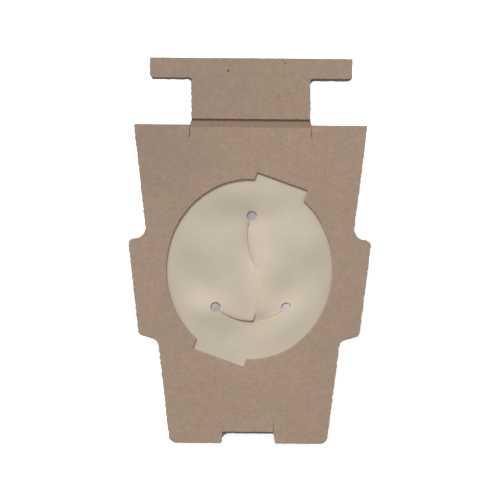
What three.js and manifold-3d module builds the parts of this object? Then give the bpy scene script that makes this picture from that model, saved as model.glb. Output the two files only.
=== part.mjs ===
// A vacuum cleaner dust bag with its filter pouch folded up flat behind the collar, as it is stored.
// The collar is two layers of grey-brown board. A slit rubber seal is held between them, behind a
// keyed oval mouth, and a pull tab hinges on the back layer above the shoulders.
// Millimetres. X runs across the collar, Y from its foot to the pull tab, +Z out of its front face.
// The origin is on the surface that the bag lies on, at the middle of its length and width.

import * as THREE from "three";
import { mergeVertices } from "three/addons/utils/BufferGeometryUtils.js";
import Module from "manifold-3d";

const wasm = await Module();
wasm.setup();

// Collar body: a tapered panel with an ear on each side
const BODY_LENGTH = 159;
const SHOULDER_WIDTH = 116.7;
const FOOT_WIDTH = 77.9;
const SHOULDER_RADIUS = 0.7;
const FOOT_RADIUS = 3.6;
const FRONT_BOARD = 1;
const BACK_BOARD = 1.25;

// Ears: how far they reach past the body's sides, and where they start below the shoulders
const EAR_REACH = 9.4;
const EAR_DROP = 56.8;
const EAR_LENGTH = 51.2;
const EAR_TOP_SLOPE = 0.8;
const EAR_BOTTOM_SLOPE = 2.8;
const EAR_TIP_RADIUS = 2.8;
const EAR_TOP_ROOT_RADIUS = 5.4;
const EAR_BOTTOM_ROOT_RADIUS = 4.2;

// Foot notch, with a short nick above its right corner
const NOTCH_MOUTH_WIDTH = 26.6;
const NOTCH_TOP_WIDTH = 25.2;
const NOTCH_DEPTH = 5.45;
const NOTCH_LIP_RADIUS = 0.8;
const NICK_LENGTH = 4.1;
const NICK_WIDTH = 0.35;

// Pull tab: a stem with a crossbar, hinged where the front layer is left out
const STEM_WIDTH = 59.4;
const STEM_LENGTH = 23.3;
const BAR_WIDTH = 101.3;
const BAR_DEPTH = 10.3;
const BAR_ROOT_RADIUS = 1.1;
const BAR_TIP_RADIUS = 1.9;
const BAR_CORNER_RADIUS = 0.5;
const HINGE_BAND = 4.1;
const HINGE_BAND_DROP = 1.35;
const HINGE_CUT_SPACING = 61;
const HINGE_CUT_LENGTH = 6.4;
const HINGE_CUT_WIDTH = 0.4;

// Mouth: an oval crossed by a keyway for the two lugs of the cleaner's filling tube
const MOUTH_WIDTH = 82.6;
const MOUTH_LENGTH = 89.8;
const MOUTH_RISE = 87.1;
const KEYWAY_WIDTH = 26.6;
const KEYWAY_LENGTH = 93.6;
const KEYWAY_TURN = 19.5;
const KEYWAY_SHIFT = 0.45;

// Seal: a rubber sheet with three punched holes, joined by a cut down the middle and a curved cut
const SEAL_THICKNESS = 0.5;
const SEAL_MARGIN = 8;
const SEAL_POCKET_GAP = 0.3;
const PUNCH_DIAMETER = 5.1;
const PUNCH_TOP_RISE = 26.4;
const PUNCH_TOP_SHIFT = 0.9;
const PUNCH_PAIR_SPACING = 35.2;
const PUNCH_PAIR_DROP = 19.5;
const PUNCH_PAIR_SHIFT = 0.8;
const CUT_WIDTH = 0.35;
const CURVED_CUT_SAG = 6.75;
const FLAP_LIFT = 0.55;
const FLAP_DIP = 0.5;
const FLAP_CURL = 9;

// The middle cut's sways from the top hole's centre: how far down, as a share of its drop, and across
const MIDDLE_CUT_SWAYS = [
  { drop: 0.09, across: -1.55 },
  { drop: 0.2, across: -1.95 },
  { drop: 0.43, across: 0.6 },
  { drop: 0.56, across: 2.3 },
  { drop: 0.8, across: 2.8 },
];

// The seal's sag and soft ripples: middle from the mouth's centre, spread each way, and height
const RIPPLES = [
  { x: 0, y: 0, acrossX: 42, acrossY: 42, height: -0.3 },
  { x: 0, y: 30, acrossX: 22, acrossY: 8, height: -0.55 },
  { x: 6, y: 6, acrossX: 13, acrossY: 13, height: 0.6 },
  { x: -30, y: -4, acrossX: 11, acrossY: 8, height: -0.55 },
  { x: 29, y: -5, acrossX: 11, acrossY: 8, height: -0.55 },
  { x: -22, y: -22, acrossX: 10, acrossY: 7, height: 0.55 },
  { x: 22, y: -22, acrossX: 10, acrossY: 7, height: 0.5 },
];

// Pouch: one flattened gusseted tube, sealed at both ends and folded to and fro behind the collar
const POUCH_LEGS = 5;
const POUCH_LEG_LENGTH = 120;
const POUCH_TOP_SETBACK = 14;
const POUCH_INSET = 3;
const POUCH_THICKNESS = 1.5;
const POUCH_FOLD_GAP = 0.375;
const POUCH_GUSSET = 4.5;
const POUCH_SIDE_ROUNDING = 0.5;
const END_SEAM_LENGTH = 7;
const END_SEAM_THICKNESS = 0.5;
const END_SEAM_RAMP = 3;
const POUCH_MOUTH_RELIEF = 1;
const POUCH_MOUTH_DEPTH = 0.5;
const GLUE_GAP = 0.25;

// Levels along Y, from the middle of the whole length
const collarLength = BODY_LENGTH + STEM_LENGTH + BAR_DEPTH;
const footY = -collarLength / 2;
const shoulderY = footY + BODY_LENGTH;
const barLowY = shoulderY + STEM_LENGTH;
const tabTopY = barLowY + BAR_DEPTH;
const bandLowY = shoulderY - HINGE_BAND_DROP;
const bandHighY = bandLowY + HINGE_BAND;
const mouthY = footY + MOUTH_RISE;

// Levels along Z, from the surface that the pouch lies on
const foldPitch = POUCH_THICKNESS + POUCH_FOLD_GAP;
const pouchTopZ = (POUCH_LEGS - 1) * foldPitch + POUCH_THICKNESS;
const backBoardZ = pouchTopZ + GLUE_GAP;
const jointZ = backBoardZ + BACK_BOARD;
const frontFaceZ = jointZ + FRONT_BOARD;
const sealZ = jointZ - SEAL_THICKNESS;

const CUTTER_OVERRUN = 1;
const MOUTH_CUTTER_REACH = 4;
const SEAL_RINGS = 8;
const SEAL_STEPS = 60;
const OVAL_STEPS = 96;
const FILLET_STEPS = 3;

// Half of the body's width, without its ears, at a level along Y.
function bodyHalfWidth(y) {
  const taper = (SHOULDER_WIDTH - FOOT_WIDTH) / 2 / BODY_LENGTH;
  return FOOT_WIDTH / 2 + taper * (y - footY);
}

// A closed outline through corners [x, y, radius], each rounded by an arc of its radius.
function roundedOutline(corners) {
  const outline = new THREE.Shape();
  corners.forEach(([x, y, radius = 0], i) => {
    const corner = new THREE.Vector2(x, y);
    const [lastX, lastY] = corners.at(i - 1);
    const [nextX, nextY] = corners[(i + 1) % corners.length];
    const back = new THREE.Vector2(lastX, lastY).sub(corner).normalize();
    const onward = new THREE.Vector2(nextX, nextY).sub(corner).normalize();
    const halfAngle = Math.acos(THREE.MathUtils.clamp(back.dot(onward), -1, 1)) / 2;
    const reach = radius / Math.tan(halfAngle);
    const start = back.clone().multiplyScalar(reach).add(corner);
    if (i === 0) outline.moveTo(start.x, start.y);
    else outline.lineTo(start.x, start.y);
    if (radius > 0) {
      const end = onward.clone().multiplyScalar(reach).add(corner);
      const centre = back.clone().add(onward).normalize().multiplyScalar(radius / Math.sin(halfAngle)).add(corner);
      const from = start.sub(centre).angle();
      const to = end.sub(centre).angle();
      const clockwise = back.cross(onward) > 0;
      outline.absarc(centre.x, centre.y, radius, from, to, clockwise);
    }
  });
  outline.closePath();
  return outline;
}

// A list of corners down the right side, completed with their mirror image up the left side.
function mirrored(rightSide) {
  return [...rightSide, ...rightSide.map(([x, y, radius]) => [-x, y, radius]).reverse()];
}

// A flat layer of an outline's shape between two levels along Z.
function layer(outline, low, high, steps = FILLET_STEPS) {
  const made = new THREE.ExtrudeGeometry(outline, { depth: 1, bevelEnabled: false, curveSegments: steps });
  const position = made.attributes.position;
  for (let i = 0; i < position.count; i++) position.setZ(i, position.getZ(i) < 0.5 ? low : high);
  return made;
}

// An oval outline about the mouth's centre, from its two radii.
function ovalOutline(radiusX, radiusY) {
  const oval = new THREE.EllipseCurve(0, mouthY, radiusX, radiusY);
  return new THREE.Shape(oval.getPoints(OVAL_STEPS).slice(0, OVAL_STEPS));
}

// A geometry as a solid that can be cut and joined.
function solidOf(geometry) {
  const bare = new THREE.BufferGeometry();
  bare.setAttribute("position", geometry.getAttribute("position"));
  if (geometry.index) bare.setIndex(geometry.index);
  const merged = mergeVertices(bare);
  return new wasm.Manifold(
    new wasm.Mesh({
      numProp: 3,
      vertProperties: merged.attributes.position.array,
      triVerts: new Uint32Array(merged.index.array),
    }),
  );
}

// A solid back as a geometry of separate flat triangles' vertices.
function geometryOf(solid) {
  const { vertProperties, triVerts, numProp } = solid.getMesh();
  const points = new Float32Array((vertProperties.length / numProp) * 3);
  for (let i = 0; i < points.length / 3; i++) {
    for (let axis = 0; axis < 3; axis++) points[3 * i + axis] = vertProperties[numProp * i + axis];
  }
  const made = new THREE.BufferGeometry();
  made.setAttribute("position", new THREE.BufferAttribute(points, 3));
  made.setIndex([...triVerts]);
  return made;
}

function cutFrom(geometry, ...cutters) {
  return geometryOf(cutters.reduce((left, cutter) => left.subtract(solidOf(cutter)), solidOf(geometry)));
}

// Collar outlines

// The body's right side from the foot notch up to the shoulder, ear included.
function bodyRightSide() {
  const earTopY = shoulderY - EAR_DROP;
  const earBottomY = earTopY - EAR_LENGTH;
  const tipTopY = earTopY - EAR_TOP_SLOPE;
  const tipBottomY = earBottomY + EAR_BOTTOM_SLOPE;
  return [
    [NOTCH_MOUTH_WIDTH / 2, footY, NOTCH_LIP_RADIUS],
    [bodyHalfWidth(footY), footY, FOOT_RADIUS],
    [bodyHalfWidth(earBottomY), earBottomY, EAR_BOTTOM_ROOT_RADIUS],
    [bodyHalfWidth(tipBottomY) + EAR_REACH, tipBottomY, EAR_TIP_RADIUS],
    [bodyHalfWidth(tipTopY) + EAR_REACH, tipTopY, EAR_TIP_RADIUS],
    [bodyHalfWidth(earTopY), earTopY, EAR_TOP_ROOT_RADIUS],
    [bodyHalfWidth(shoulderY), shoulderY, SHOULDER_RADIUS],
  ];
}

// The foot notch's upper edge from left to right, with the nick that runs up from its right corner.
function notchTop() {
  const y = footY + NOTCH_DEPTH;
  const right = NOTCH_TOP_WIDTH / 2;
  return [
    [-right, y],
    [right - NICK_WIDTH, y],
    [right - NICK_WIDTH, y + NICK_LENGTH],
    [right, y + NICK_LENGTH],
    [right, y],
  ];
}

// The two sides of the right hinge cut, which runs down from the shoulder to let the tab bend.
function hingeCut(innerTopY) {
  const outer = (HINGE_CUT_SPACING + HINGE_CUT_WIDTH) / 2;
  const inner = outer - HINGE_CUT_WIDTH;
  const endY = shoulderY - HINGE_CUT_LENGTH;
  return [
    [outer, shoulderY],
    [outer, endY],
    [inner, endY],
    [inner, innerTopY],
  ];
}

// The pull tab's right side from a level on its stem up to its top edge.
function tabRightSide(startY) {
  return [
    [STEM_WIDTH / 2, startY],
    [STEM_WIDTH / 2, barLowY, BAR_ROOT_RADIUS],
    [BAR_WIDTH / 2, barLowY, BAR_TIP_RADIUS],
    [BAR_WIDTH / 2, tabTopY, BAR_CORNER_RADIUS],
  ];
}

// The mouth as a cutter: the oval, crossed by the keyway, through all that lies between two levels.
function mouthCutter(low, high) {
  const oval = layer(ovalOutline(MOUTH_WIDTH / 2, MOUTH_LENGTH / 2), low, high);
  const keyway = new THREE.BoxGeometry(KEYWAY_WIDTH, KEYWAY_LENGTH, high - low);
  keyway.translate(KEYWAY_SHIFT, 0, (low + high) / 2);
  keyway.rotateZ(-THREE.MathUtils.degToRad(KEYWAY_TURN));
  keyway.translate(0, mouthY, 0);
  return geometryOf(solidOf(oval).add(solidOf(keyway)));
}

function frontBoard() {
  const outline = roundedOutline([
    ...notchTop(),
    ...mirrored([...bodyRightSide(), ...hingeCut(bandLowY)]),
  ]);
  const board = layer(outline, jointZ, frontFaceZ);
  return cutFrom(board, mouthCutter(jointZ - CUTTER_OVERRUN, frontFaceZ + CUTTER_OVERRUN));
}

function tabFacing() {
  return layer(roundedOutline(mirrored(tabRightSide(bandHighY))), jointZ, frontFaceZ);
}

// The back layer runs through behind the hinge band as the tab's hinge. It is pressed in around
// the mouth by the seal's thickness, so that both layers meet outside the seal.
function backBoard() {
  const outline = roundedOutline([
    ...notchTop(),
    ...mirrored([...bodyRightSide(), ...hingeCut(shoulderY), ...tabRightSide(shoulderY)]),
  ]);
  const board = layer(outline, backBoardZ, jointZ);
  const pocketMargin = SEAL_MARGIN + SEAL_POCKET_GAP;
  const pocketOval = ovalOutline(MOUTH_WIDTH / 2 + pocketMargin, MOUTH_LENGTH / 2 + pocketMargin);
  const pocket = layer(pocketOval, sealZ, jointZ + CUTTER_OVERRUN);
  return cutFrom(board, mouthCutter(backBoardZ - CUTTER_OVERRUN, jointZ + CUTTER_OVERRUN), pocket);
}

// Seal

const punches = {
  top: new THREE.Vector2(PUNCH_TOP_SHIFT, mouthY + PUNCH_TOP_RISE),
  left: new THREE.Vector2(PUNCH_PAIR_SHIFT - PUNCH_PAIR_SPACING / 2, mouthY - PUNCH_PAIR_DROP),
  right: new THREE.Vector2(PUNCH_PAIR_SHIFT + PUNCH_PAIR_SPACING / 2, mouthY - PUNCH_PAIR_DROP),
};

// The circle that the curved cut follows from the left punched hole, under the middle, to the right.
const curvedCutRadius = ((PUNCH_PAIR_SPACING / 2) ** 2 + CURVED_CUT_SAG ** 2) / 2 / CURVED_CUT_SAG;
const curvedCutCentre = new THREE.Vector2(
  PUNCH_PAIR_SHIFT,
  mouthY - PUNCH_PAIR_DROP - CURVED_CUT_SAG + curvedCutRadius,
);

// The cut down the middle sways to the left and then to the right on its way to the curved cut.
const middleCutEnd = new THREE.Vector2(PUNCH_TOP_SHIFT + 1, mouthY - PUNCH_PAIR_DROP - CURVED_CUT_SAG);
const middleCutDrop = punches.top.y - middleCutEnd.y;
const middleCut = new THREE.SplineCurve([
  punches.top,
  ...MIDDLE_CUT_SWAYS.map(
    ({ drop, across }) => new THREE.Vector2(punches.top.x + across, punches.top.y - drop * middleCutDrop),
  ),
  middleCutEnd,
]);

// A narrow strip of the cut's width along a run of points, as an outline.
function cutOutline(points) {
  const sides = points.map((point, i) => {
    const ahead = points[Math.min(i + 1, points.length - 1)];
    const behind = points[Math.max(i - 1, 0)];
    const across = ahead.clone().sub(behind).normalize().multiplyScalar(CUT_WIDTH / 2);
    return [
      new THREE.Vector2(point.x - across.y, point.y + across.x),
      new THREE.Vector2(point.x + across.y, point.y - across.x),
    ];
  });
  return new THREE.Shape([...sides.map(([left]) => left), ...sides.map(([, right]) => right).reverse()]);
}

// The seal before it is cut: a sheet in rings about the mouth's centre, rippled inside the mouth and
// flat where the boards hold it.
function rippledSheet() {
  const rings = [];
  for (let ring = 1; ring <= SEAL_RINGS; ring++) {
    rings.push([(MOUTH_WIDTH / 2) * (ring / SEAL_RINGS), (MOUTH_LENGTH / 2) * (ring / SEAL_RINGS)]);
  }
  rings.push([MOUTH_WIDTH / 2 + SEAL_MARGIN, MOUTH_LENGTH / 2 + SEAL_MARGIN]);
  const plan = [new THREE.Vector2(0, mouthY)];
  for (const [radiusX, radiusY] of rings) {
    plan.push(...new THREE.EllipseCurve(0, mouthY, radiusX, radiusY).getPoints(SEAL_STEPS).slice(0, SEAL_STEPS));
  }
  const points = [];
  for (const level of [jointZ, sealZ]) {
    for (const { x, y } of plan) points.push(x, y, level + rippleHeight(x, y));
  }
  const faces = [];
  const addFace = (a, b, c) => faces.push(a, b, c, plan.length + a, plan.length + c, plan.length + b);
  const at = (ring, step) => 1 + ring * SEAL_STEPS + (step % SEAL_STEPS);
  for (let step = 0; step < SEAL_STEPS; step++) {
    addFace(0, at(0, step), at(0, step + 1));
    for (let ring = 0; ring < rings.length - 1; ring++) {
      addFace(at(ring, step), at(ring + 1, step), at(ring + 1, step + 1));
      addFace(at(ring, step), at(ring + 1, step + 1), at(ring, step + 1));
    }
    const [a, b] = [at(rings.length - 1, step), at(rings.length - 1, step + 1)];
    faces.push(a, plan.length + a, b, b, plan.length + a, plan.length + b);
  }
  const sheet = new THREE.BufferGeometry();
  sheet.setAttribute("position", new THREE.Float32BufferAttribute(points, 3));
  sheet.setIndex(faces);
  return sheet;
}

// How far the middle cut lies to the right of the mouth's centre line, at a level along Y.
const middleCutPoints = middleCut.getPoints(24);
function middleCutX(y) {
  const next = middleCutPoints.findIndex((point) => point.y <= y);
  if (next <= 0) return next === 0 ? middleCutPoints[0].x : middleCutPoints.at(-1).x;
  const [high, low] = [middleCutPoints[next - 1], middleCutPoints[next]];
  return low.x + ((high.x - low.x) * (y - low.y)) / (high.y - low.y);
}

// The height of the soft ripples at a point, which die away towards the mouth's edge.
function rippleHeight(x, y) {
  const [fromX, fromY] = [x, y - mouthY];
  const share = Math.hypot(fromX / (MOUTH_WIDTH / 2), fromY / (MOUTH_LENGTH / 2));
  if (share > 0.999) return 0;
  const ripple = RIPPLES.reduce((sum, { x: atX, y: atY, acrossX, acrossY, height }) => {
    return sum + height * Math.exp(-(((fromX - atX) / acrossX) ** 2) - ((fromY - atY) / acrossY) ** 2);
  }, 0);
  return ripple * (1 - share ** 4);
}

// How far the flaps beside the middle cut stand proud (the left one) or dip (the right one).
function flapHeight(x, y) {
  const insideCurve = Math.hypot(x - curvedCutCentre.x, y - curvedCutCentre.y) < curvedCutRadius;
  if (!insideCurve || y > punches.top.y) return 0;
  const fromTip = Math.hypot(x - middleCutEnd.x, y - middleCutEnd.y);
  return Math.exp(-((fromTip / FLAP_CURL) ** 2)) * (x < middleCutX(y) ? FLAP_LIFT : -FLAP_DIP);
}

function seal() {
  const [low, high] = [sealZ - MOUTH_CUTTER_REACH, jointZ + MOUTH_CUTTER_REACH];
  const holes = Object.values(punches).map((centre) => {
    const punch = new THREE.CylinderGeometry(PUNCH_DIAMETER / 2, PUNCH_DIAMETER / 2, high - low, 20);
    return punch.rotateX(Math.PI / 2).translate(centre.x, centre.y, (low + high) / 2);
  });
  const halfSweep = Math.asin(PUNCH_PAIR_SPACING / 2 / curvedCutRadius);
  const curve = new THREE.EllipseCurve(
    curvedCutCentre.x,
    curvedCutCentre.y,
    curvedCutRadius,
    curvedCutRadius,
    -Math.PI / 2 - halfSweep,
    -Math.PI / 2 + halfSweep,
  );
  const cuts = [middleCutPoints, curve.getPoints(16)].map((points) => layer(cutOutline(points), low, high));
  const made = cutFrom(rippledSheet(), ...holes, ...cuts);
  const position = made.attributes.position;
  for (let i = 0; i < position.count; i++) {
    position.setZ(i, position.getZ(i) + flapHeight(position.getX(i), position.getY(i)));
  }
  return made;
}

// Pouch

// The pouch's centreline as stations { y, z, turn, fullness }: turn is the angle of its course in
// the YZ plane, and fullness its thickness as a share of the tube's.
function pouchCourse() {
  const topY = shoulderY - POUCH_TOP_SETBACK;
  const lowY = topY - POUCH_LEG_LENGTH;
  const seamShare = END_SEAM_THICKNESS / POUCH_THICKNESS;
  const stations = [];
  for (let leg = 0; leg < POUCH_LEGS; leg++) {
    const z = pouchTopZ - POUCH_THICKNESS / 2 - leg * foldPitch;
    const downwards = leg % 2 === 0;
    const [startY, endY] = downwards ? [topY, lowY] : [lowY, topY];
    const onward = Math.sign(endY - startY);
    const turn = downwards ? Math.PI : 0;
    const at = (y, fullness) => stations.push({ y, z, turn, fullness });
    if (leg === 0) {
      at(startY, seamShare);
      at(startY + onward * END_SEAM_LENGTH, seamShare);
      at(startY + onward * (END_SEAM_LENGTH + END_SEAM_RAMP), 1);
    } else {
      at(startY, 1);
    }
    if (leg === POUCH_LEGS - 1) {
      at(endY - onward * (END_SEAM_LENGTH + END_SEAM_RAMP), 1);
      at(endY - onward * END_SEAM_LENGTH, seamShare);
      at(endY, seamShare);
    } else {
      at(endY, 1);
      const steps = 6;
      for (let step = 1; step < steps; step++) {
        const bend = (Math.PI * step) / steps;
        stations.push({
          y: endY + (onward * foldPitch * Math.sin(bend)) / 2,
          z: z - (foldPitch * (1 - Math.cos(bend))) / 2,
          turn: turn - onward * bend,
          fullness: 1,
        });
      }
    }
  }
  return stations;
}

// The flattened tube's section as [across, up] pairs: each side is tucked in by a gusset.
function pouchSection(halfWidth, fullness) {
  const half = (POUCH_THICKNESS / 2) * fullness;
  const shoulder = halfWidth - POUCH_SIDE_ROUNDING;
  const nose = half * 0.55;
  const side = [
    [shoulder, half],
    [halfWidth, nose],
    [halfWidth - POUCH_GUSSET, 0],
    [halfWidth, -nose],
    [shoulder, -half],
  ];
  return [...side, ...side.map(([across, up]) => [-across, up]).reverse()];
}

function pouch() {
  const stations = pouchCourse();
  const points = [];
  for (const { y, z, turn, fullness } of stations) {
    const ring = pouchSection(bodyHalfWidth(y) - POUCH_INSET, fullness);
    for (const [across, up] of ring) points.push(across, y - up * Math.sin(turn), z + up * Math.cos(turn));
  }
  const ringSize = points.length / 3 / stations.length;
  const faces = [];
  for (let station = 0; station < stations.length - 1; station++) {
    for (let k = 0; k < ringSize; k++) {
      const [a, b] = [station * ringSize + k, station * ringSize + ((k + 1) % ringSize)];
      faces.push(a, b, a + ringSize, b, b + ringSize, a + ringSize);
    }
  }
  for (const [station, flip] of [[0, false], [stations.length - 1, true]]) {
    const centre = points.length / 3;
    points.push(0, stations[station].y, stations[station].z);
    for (let k = 0; k < ringSize; k++) {
      const edge = [station * ringSize + k, station * ringSize + ((k + 1) % ringSize)];
      faces.push(centre, ...(flip ? edge : edge.reverse()));
    }
  }
  const tube = new THREE.BufferGeometry();
  tube.setAttribute("position", new THREE.Float32BufferAttribute(points, 3));
  tube.setIndex(faces);
  const relief = ovalOutline(MOUTH_WIDTH / 2 + POUCH_MOUTH_RELIEF, MOUTH_LENGTH / 2 + POUCH_MOUTH_RELIEF);
  return cutFrom(tube, layer(relief, pouchTopZ - POUCH_MOUTH_DEPTH, pouchTopZ + CUTTER_OVERRUN));
}

// Materials and pieces

const board = new THREE.MeshStandardMaterial({ color: 0xa08b7a, roughness: 0.9, metalness: 0 });
const rubber = new THREE.MeshStandardMaterial({ color: 0xc4b7a5, roughness: 0.55, metalness: 0 });
const filterCloth = new THREE.MeshStandardMaterial({ color: 0xc5bcb8, roughness: 0.95, metalness: 0 });

const bag = new THREE.Group();

function addPiece(name, geometry, material) {
  const piece = new THREE.Mesh(geometry, material);
  piece.name = name;
  bag.add(piece);
}

addPiece("collar_front_board", frontBoard(), board);
addPiece("collar_back_board", backBoard(), board);
addPiece("pull_tab_facing", tabFacing(), board);
addPiece("mouth_seal", seal(), rubber);
addPiece("filter_pouch", pouch(), filterCloth);

export default bag;
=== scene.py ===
"""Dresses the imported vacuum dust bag: its board collar, its rubber mouth seal and its folded filter pouch.

Sizes in the classes are in millimetres, in the bag's own frame: X across the collar, Y from its foot to
its pull tab, Z up from the surface that the pouch lies on. Meshes are written in metres.
"""

import sys

import logging
import math
from dataclasses import dataclass, field
from enum import Enum
from typing import Union

import bpy
import numpy as np
from mathutils import Matrix, Vector, geometry


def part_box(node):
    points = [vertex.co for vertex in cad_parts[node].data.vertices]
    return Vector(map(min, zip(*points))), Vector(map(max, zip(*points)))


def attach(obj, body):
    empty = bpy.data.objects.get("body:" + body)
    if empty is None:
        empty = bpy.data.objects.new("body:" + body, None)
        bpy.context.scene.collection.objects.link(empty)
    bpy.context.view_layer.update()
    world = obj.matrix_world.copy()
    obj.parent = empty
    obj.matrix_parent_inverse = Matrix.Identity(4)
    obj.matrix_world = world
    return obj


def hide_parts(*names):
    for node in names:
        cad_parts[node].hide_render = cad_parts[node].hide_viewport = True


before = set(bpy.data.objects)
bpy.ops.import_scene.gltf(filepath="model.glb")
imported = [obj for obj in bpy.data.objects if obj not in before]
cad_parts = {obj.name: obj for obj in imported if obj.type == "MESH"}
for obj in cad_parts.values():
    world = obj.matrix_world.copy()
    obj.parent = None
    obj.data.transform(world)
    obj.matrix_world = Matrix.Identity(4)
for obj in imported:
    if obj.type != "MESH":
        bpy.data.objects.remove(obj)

LOG = logging.getLogger("dust_bag")
MM = 0.001
BODY = "root"
CUT = "cut"
# The seal's attribute of painted shade, along the mouth's edge and the curved cut.
PAINTED_SHADE = "shade_brown"
CLOTH_UV = "cloth"
BLOCK = 1000
TINY = 1e-12
ANY_HEIGHT = 1000.0
WHITE = (1.0, 1.0, 1.0, 1.0)

Pair = tuple[float, float]
Triple = tuple[float, float, float]
Colour = tuple[float, float, float, float]
Band = Corner = Triple
Array = np.ndarray
Value = Union["Signal", float, tuple]


class Layer(Enum):
    """The pieces of board that make the collar, by their node names."""

    FRONT = "collar_front_board"
    BACK = "collar_back_board"
    FACING = "pull_tab_facing"


class SoftPiece(Enum):
    """The soft pieces, by their node names."""

    SEAL = "mouth_seal"
    POUCH = "filter_pouch"


# Shader trees

def srgb(red: float, green: float, blue: float) -> Colour:
    """Turns a colour of 0 to 255 as a picture stores it into the linear colour that a shader takes.

    Args:
        red, green, blue: The stored channels.

    Returns:
        The linear colour, opaque: ((c + 0.055) / 1.055) ** 2.4 for each channel above 0.04, else c / 12.92.
    """
    shares = [channel / 255 for channel in (red, green, blue)]
    linear = [((s + 0.055) / 1.055) ** 2.4 if s > 0.04 else s / 12.92 for s in shares]
    return (*linear, 1.0)


class Signal:
    """A socket of a shader tree, whose arithmetic adds Math nodes to the tree."""

    def __init__(self, shader: "Shader", socket: bpy.types.NodeSocket) -> None:
        """Wraps one output socket of the shader's tree."""
        self.shader = shader
        self.socket = socket

    def _math(self, operation: str, left: Value, right: Value) -> "Signal":
        """Adds a Math node and returns its result."""
        return self.shader.add("Math", {"operation": operation}, {0: left, 1: right})

    def __add__(self, other: Value) -> "Signal":
        """Adds."""
        return self._math("ADD", self, other)

    def __sub__(self, other: Value) -> "Signal":
        """Subtracts."""
        return self._math("SUBTRACT", self, other)

    def __rsub__(self, other: Value) -> "Signal":
        """Subtracts this from another value."""
        return self._math("SUBTRACT", other, self)

    def __mul__(self, other: Value) -> "Signal":
        """Multiplies."""
        return self._math("MULTIPLY", self, other)

    __radd__ = __add__
    __rmul__ = __mul__


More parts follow.
